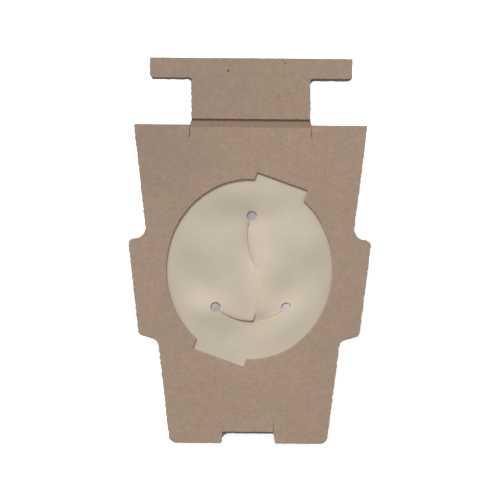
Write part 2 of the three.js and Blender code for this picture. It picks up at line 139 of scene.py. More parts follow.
class Shader:
    """The node tree of a material or a world, built from expressions on Signals."""

    def __init__(self, owner: bpy.types.Material | bpy.types.World) -> None:
        """Empties the owner's tree."""
        owner.use_nodes = True
        self.owner = owner
        self.tree = owner.node_tree
        self.tree.nodes.clear()

    def add(
        self, kind: str, settings: dict | None = None, inputs: dict | None = None, output: int | str = 0
    ) -> Signal:
        """Adds a node.

        Args:
            kind: The node's type, without the prefix that all shader nodes share.
            settings: The node's own settings, set before its sockets.
            inputs: Values or Signals for its sockets, by name or number.
            output: The number or name of the output wanted.

        Returns:
            That output.
        """
        node = self.tree.nodes.new("ShaderNode" + kind)
        for name, setting in (settings or {}).items():
            setattr(node, name, setting)
        for socket, value in (inputs or {}).items():
            if isinstance(value, Signal):
                self.tree.links.new(value.socket, node.inputs[socket])
            else:
                node.inputs[socket].default_value = value
        return Signal(self, node.outputs[output])

    def place(self) -> Signal:
        """Object coordinates in millimetres."""
        metres = self.add("TexCoord", output=3)
        return self.add("VectorMath", {"operation": "SCALE"}, {0: metres, 3: 1 / MM})

    def along(self, where: Signal, axis: int) -> Signal:
        """One coordinate of a vector: 0 for X, 1 for Y, 2 for Z."""
        return self.add("SeparateXYZ", inputs={0: where}, output=axis)

    def attribute(self, name: str) -> Signal:
        """A mesh attribute's value."""
        return self.add("Attribute", {"attribute_name": name}, output=2)

    def noise(self, where: Signal, size: float, detail: float = 2.0, roughness: float = 0.5) -> Signal:
        """Cloudy noise from 0 to 1, whose lumps are about size millimetres across."""
        inputs = {"Vector": where, "Scale": 1 / size, "Detail": detail, "Roughness": roughness}
        return self.add("TexNoise", {"normalize": True}, inputs)

    def grained(self, where: Signal, grain: "Grain") -> Signal:
        """The noise of one scale of a surface's mottling."""
        return self.noise(where, grain.size, grain.detail, grain.roughness)

    def stretched(self, where: Signal, turn: float, scale: Triple) -> Signal:
        """Coordinates turned about Z by some degrees and then scaled along each axis."""
        inputs = {"Vector": where, "Rotation": (0.0, 0.0, math.radians(turn)), "Scale": scale}
        return self.add("Mapping", {"vector_type": "TEXTURE"}, inputs)

    def step(self, value: Value, low: float, high: float) -> Signal:
        """Goes smoothly from 0 at low to 1 at high."""
        inputs = {0: value, 1: low, 2: high, 3: 0.0, 4: 1.0}
        return self.add("MapRange", {"interpolation_type": "SMOOTHSTEP", "clamp": True}, inputs)

    def sine(self, value: Signal) -> Signal:
        """The sine of an angle in radians."""
        return self.add("Math", {"operation": "SINE"}, {0: value})

    def mix(self, first: Value, second: Value, share: Value) -> Signal:
        """A colour between two colours."""
        settings = {"data_type": "RGBA", "clamp_factor": True}
        return self.add("Mix", settings, {0: share, 6: first, 7: second}, output=2)

    def tinted(self, colour: Value, gain: Signal) -> Signal:
        """A colour made lighter or darker by a gain."""
        return self.add("VectorMath", {"operation": "SCALE"}, {0: colour, 3: gain})

    def mottled(self, colour: Value, lumps: list[Signal], grains: tuple["Grain", ...]) -> Signal:
        """A colour made lighter and darker by noise.

        Args:
            colour: The even colour.
            lumps: The noise of each scale.
            grains: The scales, which give each noise's gain.

        Returns:
            The colour times 1 + the sum of (noise - 0.5) * gain.
        """
        gain = 1.0
        for lump, grain in zip(lumps, grains):
            gain = gain + (lump - 0.5) * grain.gain
        return self.tinted(colour, gain)

    def patch_tinted(self, colour: Signal, where: Signal, tint_patches: tuple["TintPatch", ...]) -> Signal:
        """A colour with soft patches of tint, each multiplied in by its own mask.

        Args:
            colour: The colour without them.
            where: Coordinates in millimetres.
            tint_patches: The patches.

        Returns:
            The tinted colour.
        """
        settings = {"data_type": "RGBA", "blend_type": "MULTIPLY", "clamp_factor": True}
        for tint_patch in tint_patches:
            mask = self.patch(where, tint_patch)
            red, blue = 1 + tint_patch.gain + tint_patch.warmth, 1 + tint_patch.gain - tint_patch.warmth
            tint = (red, 1 + tint_patch.gain, blue, 1.0)
            colour = self.add("Mix", settings, {0: mask, 6: colour, 7: tint}, output=2)
        return colour

    def patch(self, where: Signal, tint_patch: "TintPatch") -> Signal:
        """A tint patch's mask, which is the same at any height.

        Args:
            where: Coordinates in millimetres.
            tint_patch: The patch.

        Returns:
            1 in the patch's middle, 0.5 at its spread and 0 at twice that.
        """
        inputs = {
            "Vector": where,
            "Location": (tint_patch.x, tint_patch.y, 0.0),
            "Rotation": (0.0, 0.0, math.radians(tint_patch.turn)),
            "Scale": (2 * tint_patch.along, 2 * tint_patch.across, ANY_HEIGHT),
        }
        inside_stain = self.add("Mapping", {"vector_type": "TEXTURE"}, inputs)
        settings = {"gradient_type": "SPHERICAL"}
        share = self.add("TexGradient", settings, {"Vector": inside_stain}, output=1)
        return self.step(share, 0.0, 1.0)

    def dress(
        self, colour: Value, rough: Value, height: Signal, depth: float, **uniform: float
    ) -> bpy.types.Material:
        """Joins the surface's inputs to a Principled shader and the output.

        Args:
            colour: The base colour.
            rough: The roughness.
            height: The bump's height, from 0 to 1.
            depth: How many millimetres that height of 1 stands for.
            uniform: Values of the shader's other sockets, by name with _ for a space.

        Returns:
            The finished material.
        """
        inputs = {"Height": height, "Distance": depth * MM, "Strength": 1.0}
        normal = self.add("Bump", inputs=inputs)
        sockets = {name.replace("_", " "): value for name, value in uniform.items()}
        sockets.update({"Base Color": colour, "Roughness": rough, "Normal": normal})
        self.finish("OutputMaterial", self.add("BsdfPrincipled", inputs=sockets))
        return self.owner

    def finish(self, kind: str, surface: Signal) -> None:
        """Links a surface to the tree's output node, whose kind is OutputMaterial or OutputWorld."""
        node = self.tree.nodes.new("ShaderNode" + kind)
        self.tree.links.new(surface.socket, node.inputs["Surface"])


# Finishes

@dataclass(frozen=True)
class Speck:
    """A single fleck pressed into the board's surface."""

    x: float
    y: float
    radius: float
    colour: Colour


@dataclass(frozen=True)
class Patch:
    """A soft oval area: its middle, its spreads and its turn in degrees."""

    x: float
    y: float
    along: float
    across: float
    turn: float


@dataclass(frozen=True)
class TintPatch(Patch):
    """A patch of another colour: its gain, and its warmth from blue to red."""

    gain: float
    warmth: float = 0.0


@dataclass(frozen=True)
class Grain:
    """One scale of a surface's mottling: its lumps' size, the noise's detail and roughness, and its gain."""

    size: float
    detail: float
    roughness: float
    gain: float


@dataclass(frozen=True)
class Fibres:
    """Fibres that lie about one way, in degrees from X: their size, share of the surface and strength."""

    turn: float
    length: float
    width: float
    share: float
    strength: float


@dataclass(frozen=True)
class BoardFinish:
    """Unprinted recycled board: mottled pulp with darker and paler fibres, and plies along its cut walls."""

    face: Colour = srgb(161, 139, 121)
    facing: Colour = srgb(156, 135, 118)
    warm: Colour = srgb(168, 138, 120)
    cool: Colour = srgb(154, 142, 124)
    dark_fibre: Colour = srgb(112, 92, 78)
    pale_fibre: Colour = srgb(188, 169, 151)
    wall: Colour = srgb(158, 146, 138)
    wall_dark: Colour = srgb(124, 113, 106)
    hinge: Colour = srgb(145, 121, 103)
    hinge_dark: Colour = srgb(118, 95, 78)
    hue_size: float = 4.5
    hue_levels: Pair = (0.35, 0.65)
    hue_share: float = 0.22
    clouds: Grain = Grain(26.0, 2.0, 0.5, 0.07)
    blotches: Grain = Grain(4.2, 3.0, 0.6, 0.19)
    mottle: Grain = Grain(1.7, 3.0, 0.6, 0.34)
    pulp: Grain = Grain(0.7, 3.0, 0.65, 0.3)
    dark_fibres: Fibres = Fibres(34.0, 2.6, 0.22, 0.35, 0.22)
    cross_fibres: Fibres = Fibres(112.0, 2.2, 0.2, 0.3, 0.2)
    pale_fibres: Fibres = Fibres(78.0, 2.4, 0.24, 0.36, 0.25)
    fibre_levels: Pair = (0.74, 0.80)
    fibre_spread: float = 0.3
    ply_scale: Triple = (2.2, 2.2, 0.16)
    ply_levels: Pair = (0.42, 0.66)
    fuzz_scale: Triple = (0.9, 0.9, 0.2)
    fuzz_roughness: float = 0.7
    wall_levels: Pair = (0.25, 0.9)
    torn_low_margin: float = 0.3
    torn_high_margin: float = 0.6
    torn_depths: Pair = (0.25, 0.1)
    torn_share: float = 0.92
    streak_scale: Triple = (0.8, 3.4, 3.0)
    streak_levels: Pair = (0.5, 0.72)
    streak_share: float = 0.55
    fleck_radius: float = 0.16
    fleck_rate: float = 0.24
    fleck_levels: Pair = (0.62, 0.66)
    fleck_rim: Pair = (0.5, 1.5)
    fleck_share: float = 0.75
    speck_rim: Pair = (0.45, 1.25)
    speck_share: float = 0.9
    pulp_height: float = 0.6
    mottle_height: float = 0.25
    fibre_height: float = 0.12
    fuzz_height: float = 2.2
    grain_depth: float = 0.06
    rough: float = 0.86
    rough_spread: float = 0.12
    gloss: float = 0.28
    specks: tuple[Speck, ...] = (
        Speck(-11.4, 89.9, 0.7, srgb(88, 68, 58)),
        Speck(17.2, 93.9, 0.55, srgb(110, 84, 70)),
        Speck(13.8, 77.2, 0.5, srgb(112, 90, 76)),
        Speck(21.1, 80.0, 0.5, srgb(178, 150, 128)),
    )
    # Broad tone: darker at the upper left and on the left of the crossbar, lighter below the mouth and at the
    # foot, warmer at the right.
    tint_patches: tuple[TintPatch, ...] = (
        TintPatch(-50, 52, 26, 26, 0, -0.11, -0.012),
        TintPatch(-30, 85, 24, 9, 0, -0.04),
        TintPatch(0, -56, 26, 9, 0, 0.06, 0.006),
        TintPatch(0, -96, 60, 40, 0, 0.025, 0.008),
        TintPatch(50, 0, 20, 60, 0, 0.0, 0.006),
    )
    # Painted shade: the cut walls grow a little darker and much browner towards the mouth, so that its shadow
    # line takes the brown of light bounced off the board.
    mouth_wall_shade_tints: tuple[TintPatch, ...] = (TintPatch(0, -9.2, 54, 58, 0, -0.04, 0.17),)

    def fibre_mask(self, shader: Shader, where: Signal, fibres: Fibres) -> Signal:
        """A mask of thin fibres that lie about one way.

        Args:
            shader: The material's tree.
            where: Coordinates in millimetres.
            fibres: The fibres.

        Returns:
            The mask: 1 on a fibre.
        """
        scale = (fibres.length, fibres.width, fibres.width * 2)
        value = shader.noise(shader.stretched(where, fibres.turn, scale), 1.0, 1.0)
        low, high = (level - self.fibre_spread * fibres.share for level in self.fibre_levels)
        return shader.step(value, low, high)

    def material(self, layer: Layer, band: Band) -> bpy.types.Material:
        """Makes the finish for one layer.

        Args:
            layer: The layer, whose name the material takes.
            band: The hinge band's low and high Y, and the level above which it is seen.

        Returns:
            The material.
        """
        shader = Shader(bpy.data.materials.new(layer.value + "_board"))
        where = shader.place()
        cut = shader.attribute(CUT)
        grains = (self.clouds, self.blotches, self.mottle, self.pulp)
        lumps = [shader.grained(where, grain) for grain in grains]
        mottle, pulp = lumps[2:]
        hue = shader.step(shader.noise(where, self.hue_size), *self.hue_levels)
        face = self.facing if layer is Layer.FACING else self.face
        colour = shader.mix(face, shader.mix(self.cool, self.warm, hue), self.hue_share)
        sets = (self.dark_fibres, self.cross_fibres, self.pale_fibres)
        dark, cross, pale = (self.fibre_mask(shader, where, fibres) for fibres in sets)
        darkness = dark * self.dark_fibres.strength + cross * self.cross_fibres.strength
        colour = shader.mix(colour, self.dark_fibre, darkness)
        colour = shader.mix(colour, self.pale_fibre, pale * self.pale_fibres.strength)
        colour = self.flecked(shader, colour, where)
        colour = shader.mottled(colour, lumps, grains)
        # Broad patches of darker and lighter tone.
        colour = shader.patch_tinted(colour, where, self.tint_patches)
        if layer is Layer.BACK:
            colour = self.torn_hinge(shader, colour, where, band)
        colour = shader.mix(colour, self.cut_wall(shader, where), shader.step(cut, *self.wall_levels))
        fuzz = shader.noise(shader.stretched(where, 0.0, self.fuzz_scale), 1.0, 3.0, self.fuzz_roughness)
        height = pulp * self.pulp_height + mottle * self.mottle_height
        height = height + (pale - dark - cross) * self.fibre_height + fuzz * cut * self.fuzz_height
        rough = self.rough + (mottle - 0.5) * self.rough_spread
        return shader.dress(colour, rough, height, self.grain_depth, Specular_IOR_Level=self.gloss)

    def cut_wall(self, shader: Shader, where: Signal) -> Signal:
        """The colour of the cut walls, with darker plies along them and painted shade round the mouth.

        Args:
            shader: The material's tree.
            where: Coordinates in millimetres.

        Returns:
            The colour.
        """
        plies = shader.noise(shader.stretched(where, 0.0, self.ply_scale), 1.0, 3.0)
        wall = shader.mix(self.wall, self.wall_dark, shader.step(plies, *self.ply_levels))
        # Painted shade round the mouth.
        return shader.patch_tinted(wall, where, self.mouth_wall_shade_tints)

    def flecked(self, shader: Shader, colour: Signal, where: Signal) -> Signal:
        """Adds a scatter of tiny flecks and the few large specks.

        Args:
            shader: The material's tree.
            colour: The colour without them.
            where: Coordinates in millimetres.

        Returns:
            The flecked colour.
        """
        settings = {"feature": "F1", "voronoi_dimensions": "3D"}
        inputs = {"Vector": where, "Scale": self.fleck_rate, "Randomness": 1.0}
        distance = shader.add("TexVoronoi", settings, inputs)
        cell = shader.add("TexVoronoi", settings, inputs, output=1)
        chosen = shader.step(shader.along(cell, 0), *self.fleck_levels)
        reach = self.fleck_radius * self.fleck_rate
        dot = 1.0 - shader.step(distance, *(reach * share for share in self.fleck_rim))
        colour = shader.mix(colour, self.dark_fibre, dot * chosen * self.fleck_share)
        flat = shader.add("VectorMath", {"operation": "MULTIPLY"}, {0: where, 1: (1.0, 1.0, 0.0)})
        for speck in self.specks:
            centre = (speck.x, speck.y, 0.0)
            distance = shader.add("VectorMath", {"operation": "DISTANCE"}, {0: flat, 1: centre}, output=1)
            near = 1.0 - shader.step(distance, *(speck.radius * share for share in self.speck_rim))
            colour = shader.mix(colour, speck.colour, near * self.speck_share)
        return colour

    def torn_hinge(self, shader: Shader, colour: Signal, where: Signal, band: Band) -> Signal:
        """Browns the hinge band, where the front layer has been taken off and short fibres stand up.

        Args:
            shader: The material's tree.
            colour: The colour elsewhere.
            where: Coordinates in millimetres.
            band: The band's low and high Y, and the level above which it is seen.

        Returns:
            The colour with the band.
        """
        low, high, level = band
        along_y = shader.along(where, 1)
        above_low = shader.step(along_y, low - self.torn_low_margin, low)
        above_high = shader.step(along_y, high, high + self.torn_high_margin)
        seen = shader.step(shader.along(where, 2), *(level - depth for depth in self.torn_depths))
        in_band = above_low * (1.0 - above_high) * seen
        streaks = shader.noise(shader.stretched(where, 0.0, self.streak_scale), 1.0, 3.0, 0.6)
        streaked = shader.step(streaks, *self.streak_levels) * self.streak_share
        torn = shader.mix(self.hinge, self.hinge_dark, streaked)
        return shader.mix(colour, torn, in_band * self.torn_share)


@dataclass(frozen=True)
class RubberFinish:
    """Thin cream rubber sheet: faint clouds, a dusting of talc, painted shade along its edge and curved cut,
    patches of painted shade and light, and yellower cuts.
    """

    face: Colour = srgb(193, 180, 162)
    yellow: Colour = srgb(198, 186, 164)
    grey: Colour = srgb(188, 175, 160)
    edge: Colour = srgb(206, 187, 154)
    talc: Colour = srgb(212, 203, 190)
    # Painted shade: the brown that the sheet is given where the board's edge and the raised flap shade it.
    shade_brown: Colour = srgb(158, 137, 115)
    shade_paint_share: float = 0.55
    cloud_size: float = 17.0
    cloud_levels: Pair = (0.3, 0.7)
    cloud_share: float = 0.5
    mottle: Grain = Grain(2.2, 3.0, 0.6, 0.07)
    skin: Grain = Grain(0.35, 2.0, 0.5, 0.05)
    dust: Grain = Grain(0.9, 4.0, 0.75, 0.22)
    dust_levels: Pair = (0.6, 0.75)
    edge_levels: Pair = (0.1, 0.8)
    edge_share: float = 0.7
    mottle_height: float = 0.5
    skin_height: float = 0.5
    grain_depth: float = 0.02
    rough: float = 0.56
    dusty_rough: float = 0.2
    gloss: float = 0.35
    # Painted shade and painted light: patches that darken or lighten the sheet to strengthen its folds'
    # shading, and a painted shadow right of the flap's tip.
    tint_patches: tuple[TintPatch, ...] = (
        TintPatch(5, -3, 6.5, 18, 0, 0.075),
        TintPatch(-32, 0, 7.5, 7.5, 0, -0.06),
        TintPatch(34, 1, 6, 13, 0, -0.055, -0.015),
        TintPatch(-38, -24, 5, 8.5, 0, -0.05),
        TintPatch(-12, -44, 12, 6.5, 0, -0.06),
        TintPatch(14, -23, 12, 10, 0, 0.025),
        TintPatch(39, -8, 4, 16, 0, -0.06),
        TintPatch(3, 17, 9, 7, 0, -0.05),
        TintPatch(1, -30, 5, 8, 0, -0.035),
        TintPatch(6, -32.5, 3.4, 2.4, 20, -0.09),
        TintPatch(-12, -16, 9, 9, 0, -0.03),
        TintPatch(-18, 27, 8.5, 6, 0, -0.05),
        TintPatch(18, 27, 7, 5, 0, -0.05),
        TintPatch(-26, -35, 8.5, 5, 0, -0.04),
        TintPatch(-2, -33, 10, 6.5, 0, 0.0, 0.015),
    )

    def material(self) -> bpy.types.Material:
        """Makes the finish.

        Returns:
            The material.
        """
        shader = Shader(bpy.data.materials.new("mouth_seal_rubber"))
        where = shader.place()
        clouds = shader.step(shader.noise(where, self.cloud_size), *self.cloud_levels)
        grains = (self.mottle, self.skin)
        mottle, skin = (shader.grained(where, grain) for grain in grains)
        dust = shader.step(shader.grained(where, self.dust), *self.dust_levels)
        colour = shader.mix(self.face, shader.mix(self.grey, self.yellow, clouds), self.cloud_share)
        colour = shader.mix(colour, self.talc, dust * self.dust.gain)
        colour = shader.mottled(colour, [mottle, skin], grains)
        # Painted shade and light in patches.
        colour = shader.patch_tinted(colour, where, self.tint_patches)
        # Painted shade along the mouth's edge and under the curved cut's raised flap.
        colour = shader.mix(colour, self.shade_brown, shader.attribute(PAINTED_SHADE) * self.shade_paint_share)
        cut = shader.step(shader.attribute(CUT), *self.edge_levels)
        colour = shader.mix(colour, self.edge, cut * self.edge_share)
        height = skin * self.skin_height + mottle * self.mottle_height
        rough = self.rough + dust * self.dusty_rough
        return shader.dress(colour, rough, height, self.grain_depth, Specular_IOR_Level=self.gloss)


@dataclass(frozen=True)
class ClothFinish:
    """Spun-bonded filter cloth: fine tangled threads held by rows of small pressed bonds, welded ends, and
    painted shade and light at the seal's holes.
    """

    face: Colour = srgb(197, 188, 184)
    thread: Colour = srgb(214, 207, 204)
    pressed: Colour = srgb(178, 169, 167)
    tangle: Fibres = Fibres(24.0, 2.6, 0.28, 1.0, 0.4)
    crossing: Fibres = Fibres(118.0, 2.4, 0.28, 1.0, 0.4)
    thread_levels: Pair = (0.5, 0.68)
    clouds: Grain = Grain(9.0, 3.0, 0.6, 0.12)
    bond_pitch: float = 1.7
    bond_radius: float = 0.42
    bond_rim: float = 0.12
    bond_share: float = 0.4
    weld_pitch: float = 1.25
    weld_bars: Pair = (-0.1, 0.5)
    weld_rows: Pair = (-0.5, 0.1)
    weld_row_rate: float = 0.55
    weld_rim: float = 0.4
    weld_share: float = 0.6
    thread_height: float = 0.35
    bond_height: float = 0.8
    weld_height: float = 1.6
    cloud_height: float = 0.6
    thread_depth: float = 0.07
    rough: float = 0.9
    weld_shine: float = 0.2
    gloss: float = 0.2
    # Painted shade: darker cloth under the top and left holes. Painted light: lighter, warmer patches at the
    # holes' upper edges, which lift and warm their shadows.
    tint_patches: tuple[TintPatch, ...] = (
        TintPatch(-16.8, -28.7, 4.5, 4.5, 0, -0.17),
        TintPatch(0.9, 17.2, 4.5, 4.5, 0, -0.12),
        TintPatch(0.6, 19.2, 2.6, 1.3, 0, 0.22, 0.12),
        TintPatch(-17.1, -26.7, 2.6, 1.3, 0, 0.18, 0.12),
        TintPatch(18.1, -26.7, 2.6, 1.3, 0, 0.05, 0.1),
    )

    def material(self, seam: float, length: float) -> bpy.types.Material:
        """Makes the finish.

        Args:
            seam: The length of each welded end seam.
            length: The whole length of the flat pouch.

        Returns:
            The material.
        """
        shader = Shader(bpy.data.materials.new("filter_pouch_cloth"))
        cloth = shader.add("UVMap", {"uv_map": CLOTH_UV})
        cloth = shader.add("VectorMath", {"operation": "SCALE"}, {0: cloth, 3: 1 / MM})
        across, along = shader.along(cloth, 0), shader.along(cloth, 1)
        threads = self.threads(shader, cloth, self.tangle) + self.threads(shader, cloth, self.crossing)
        clouds = shader.grained(cloth, self.clouds)
        after_start = shader.step(along, seam - self.weld_rim, seam)
        after_end = shader.step(along, length - seam, length - seam + self.weld_rim)
        ends = 1.0 - after_start * (1.0 - after_end)
        weld = self.welds(shader, across, along) * ends
        bonds = self.bonds(shader, across, along)
        colour = shader.mix(self.face, self.thread, threads * self.tangle.strength)
        pressed = bonds * self.bond_share * (1.0 - ends) + weld * self.weld_share
        colour = shader.mix(colour, self.pressed, pressed)
        colour = shader.mottled(colour, [clouds], (self.clouds,))
        # Painted shade and light at the seal's holes.
        colour = shader.patch_tinted(colour, shader.place(), self.tint_patches)
        height = threads * self.thread_height - bonds * self.bond_height * (1.0 - ends)
        height = height - weld * self.weld_height + clouds * self.cloud_height
        rough = self.rough - weld * self.weld_shine
        return shader.dress(colour, rough, height, self.thread_depth, Specular_IOR_Level=self.gloss)

    def threads(self, shader: Shader, cloth: Signal, lay: Fibres) -> Signal:
        """A mask of threads that lie about one way."""
        stretched = shader.stretched(cloth, lay.turn, (lay.length, lay.width, 1.0))
        return shader.step(shader.noise(stretched, 1.0), *self.thread_levels)

    def bonds(self, shader: Shader, across: Signal, along: Signal) -> Signal:
        """A mask of small round bonds on a lattice that is turned by 45 degrees.

        Args:
            shader: The material's tree.
            across, along: Where on the cloth, in millimetres.

        Returns:
            1 on a bond. The lattice is sin(u + v) * sin(u - v), which peaks once in each cell.
        """
        turn = math.pi / self.bond_pitch
        peak = shader.sine((across + along) * turn) * shader.sine((across - along) * turn)
        edge = math.cos(turn * self.bond_radius * math.sqrt(2))
        return shader.step(peak * peak, edge ** 2 - self.bond_rim, edge ** 2 + self.bond_rim)

    def welds(self, shader: Shader, across: Signal, along: Signal) -> Signal:
        """A mask of rows of short upright bars, as a sealing jaw presses them.

        Args:
            shader: The material's tree.
            across, along: Where on the cloth, in millimetres.

        Returns:
            1 on a bar.
        """
        turn = 2 * math.pi / self.weld_pitch
        bars = shader.step(shader.sine(across * turn), *self.weld_bars)
        rows = shader.step(shader.sine(along * (turn * self.weld_row_rate)), *self.weld_rows)
        return bars * rows


# Shapes

def unit(vectors: Array) -> Array:
    """Each row divided by its length."""
    return vectors / np.maximum(np.linalg.norm(vectors, axis=1, keepdims=True), TINY)


def ways(angles: Array) -> Array:
    """Unit vectors at angles from X: (cos a, sin a)."""
    return np.column_stack([np.cos(angles), np.sin(angles)])


def ways_round(count: int) -> Array:
    """Unit vectors evenly round a circle, from X."""
    return ways(np.linspace(0, 2 * np.pi, count, endpoint=False))


def distance_from(points: Array, centre: Array) -> Array:
    """How far each point lies from a centre, seen from above."""
    return np.hypot(*(points[:, :2] - centre).T)


def oval_share(points: Array, centre: Array, radii: Array) -> Array:
    """How far out each point lies, as a share of an oval's own radius that way: hypot(x / a, y / b)."""
    return np.hypot(*((points[:, :2] - centre) / radii).T)


def nearest(points: Array, others: Array) -> Array:
    """How far each point lies from the nearest of the others.

    Args:
        points: The points.
        others: The others, which are compared with one block of the points at a time.

    Returns:
        One distance for each point, seen from above.
    """
    found = np.full(len(points), np.inf)
    for first in range(0, len(points), BLOCK):
        part = points[first:first + BLOCK]
        gaps = np.hypot(part[:, 0, None] - others[:, 0], part[:, 1, None] - others[:, 1])
        found[first:first + BLOCK] = gaps.min(axis=1)
    return found


def plane_waves(
    points: Array, wavelength: float, seed: int, count: int = 28, spread: Pair = (0.65, 1.7)
) -> Array:
    """Smooth noise: the sum of sin(k . p + phase) over waves with seeded directions, lengths and phases.

    Args:
        points: One row for each point.
        wavelength: About how far apart its crests lie.
        seed: Chooses the waves.
        count: How many waves.
        spread: The shortest and longest wave as shares of the wavelength.

    Returns:
        One value for each point, usually between -1.5 and 1.5.
    """
    chance = np.random.default_rng(seed)
    headings = unit(chance.normal(size=(count, points.shape[1])))
    lengths = wavelength * chance.uniform(*spread, count)
    phases = chance.uniform(0, 2 * np.pi, count)
    turns = points @ (headings * (2 * np.pi / lengths)[:, None]).T
    return np.sin(turns + phases).sum(axis=1) / math.sqrt(count / 2)


def smooth_share(values: Array, low: float, high: float) -> Array:
    """Goes smoothly from 0 at low to 1 at high: t * t * (3 - 2t)."""
    share = np.clip((values - low) / (high - low), 0, 1)
    return share * share * (3 - 2 * share)


def smooth_path(points: Array, steps: int) -> Array:
    """A Catmull-Rom curve: each span is a cubic whose slopes follow the points on both sides.

    Args:
        points: The points that it goes through.
        steps: How many points each span gets.

    Returns:
        The points of the curve, with the last of the given points at its end.
    """
    around = np.vstack([2 * points[0] - points[1], points, 2 * points[-1] - points[-2]])
    before, start, end, after = (around[k:len(around) - 3 + k, None] for k in range(4))
    t = np.linspace(0, 1, steps, endpoint=False)[None, :, None]
    first, second = end - before, 2 * before - 5 * start + 4 * end - after
    third = 3 * (start - end) + after - before
    curve = start + (first * t + second * t ** 2 + third * t ** 3) / 2
    return np.vstack([curve.reshape(-1, 2), points[-1:]])


def bend(start: Array, centre: Array, sweep: float, spacing: float) -> Array:
    """An arc: centre + radius * (cos a, sin a).

    Args:
        start: Its first point.
        centre: Its centre.
        sweep: How far it turns, in radians, positive for anticlockwise.
        spacing: About how far apart its points lie.

    Returns:
        Its points, with both ends.
    """
    offset = start - centre
    radius = float(np.hypot(*offset))
    count = max(2, int(abs(sweep) * radius / spacing) + 1)
    return centre + radius * ways(math.atan2(offset[1], offset[0]) + np.linspace(0, sweep, count))


def straight(start: Array, end: Array, spacing: float) -> Array:
    """Points from start to end, without either, about spacing apart."""
    count = max(1, math.ceil(float(np.hypot(*(end - start))) / spacing))
    return start + (end - start) * (np.arange(1, count) / count)[:, None]


def rounded_loop(corners: list[Corner], spacing: float) -> Array:
    """A closed outline through corners, each rounded by an arc of its own radius.

    The arc starts radius / tan(half the corner's angle) before the corner. Its centre lies on the
    corner's bisector, radius / sin(half the angle) from the corner.

    Args:
        corners: Each corner's x, y and radius.
        spacing: About how far apart the points lie.

    Returns:
        The outline's points.
    """
    table = np.array(corners, float)
    spots, radii = table[:, :2], table[:, 2]
    back = unit(np.roll(spots, 1, axis=0) - spots)
    onward = unit(np.roll(spots, -1, axis=0) - spots)
    half = np.arccos(np.clip((back * onward).sum(axis=1), -1, 1)) / 2
    starts = spots + back * (radii / np.tan(half))[:, None]
    ends = spots + onward * (radii / np.tan(half))[:, None]
    centres = spots + unit(back + onward) * (radii / np.sin(half))[:, None]
    turned = np.sign(back[:, 1] * onward[:, 0] - back[:, 0] * onward[:, 1])
    sweeps = turned * (np.pi - 2 * half)
    runs = []
    for corner, spot in enumerate(spots):
        rounded = radii[corner] > 0
        runs.append(bend(starts[corner], centres[corner], sweeps[corner], spacing) if rounded else spot[None])
        runs.append(straight(ends[corner], starts[(corner + 1) % len(spots)], spacing))
    return np.concatenate(runs)


def respaced(loop: Array, spacing: float) -> Array:
    """The same closed line with its points evenly spaced along it.

    Args:
        loop: The closed line.
        spacing: About how far apart its points lie.

    Returns:
        The new points.
    """
    closed = np.vstack([loop, loop[:1]])
    travelled = np.concatenate([[0], np.cumsum(np.hypot(*np.diff(closed, axis=0).T))])
    stops = np.linspace(0, travelled[-1], int(travelled[-1] / spacing), endpoint=False)
    return np.column_stack([np.interp(stops, travelled, closed[:, axis]) for axis in (0, 1)])


def inset(loop: Array, distance: Array, sharpest: float = 0.62) -> Array:
    """Moves a closed line to its left, which is into the material, along the mitre at each point.

    Args:
        loop: The closed line.
        distance: How far it moves at each point.
        sharpest: The cosine below which a sharp corner's mitre grows no longer.

    Returns:
        The moved line.
    """
    ahead = unit(np.roll(loop, -1, axis=0) - loop)
    behind = np.roll(ahead, 1, axis=0)
    left = np.column_stack([-ahead[:, 1] - behind[:, 1], ahead[:, 0] + behind[:, 0]])
    half = np.linalg.norm(left, axis=1) / 2
    return loop + unit(left) * (distance / np.clip(half, sharpest, 1))[:, None]


def inside(points: Array, loops: list[Array]) -> Array:
    """Whether each point lies in the region between the loops.

    Args:
        points: The points.
        loops: The region's outline and holes.

    Returns:
        True where a ray along X crosses the loops an odd number of times.
    """
    starts = np.concatenate(loops)
    ends = np.concatenate([np.roll(loop, -1, axis=0) for loop in loops])
    rise = ends[:, 1] - starts[:, 1]
    rise = np.where(np.abs(rise) < TINY, TINY, rise)
    found = np.zeros(len(points), bool)
    for first in range(0, len(points), BLOCK):
        x, y = points[first:first + BLOCK, 0, None], points[first:first + BLOCK, 1, None]
        spans = (starts[:, 1] <= y) != (ends[:, 1] <= y)
        crossing = starts[:, 0] + (y - starts[:, 1]) / rise * (ends[:, 0] - starts[:, 0])
        found[first:first + BLOCK] = ((spans & (crossing > x)).sum(axis=1) % 2) == 1
    return found


def lattice(low: Array, high: Array, spacing: float) -> Array:
    """Points of a triangular lattice over a rectangle.

    Args:
        low, high: The rectangle's lowest and highest corner.
        spacing: How far apart neighbours lie.

    Returns:
        The points.
    """
    columns = np.arange(low[0], high[0], spacing)
    rows = np.arange(low[1], high[1], spacing * math.sqrt(0.75))
    x, y = np.meshgrid(columns, rows)
    x = x + spacing / 2 * (np.arange(len(rows)) % 2)[:, None]
    return np.column_stack([x.ravel(), y.ravel()])


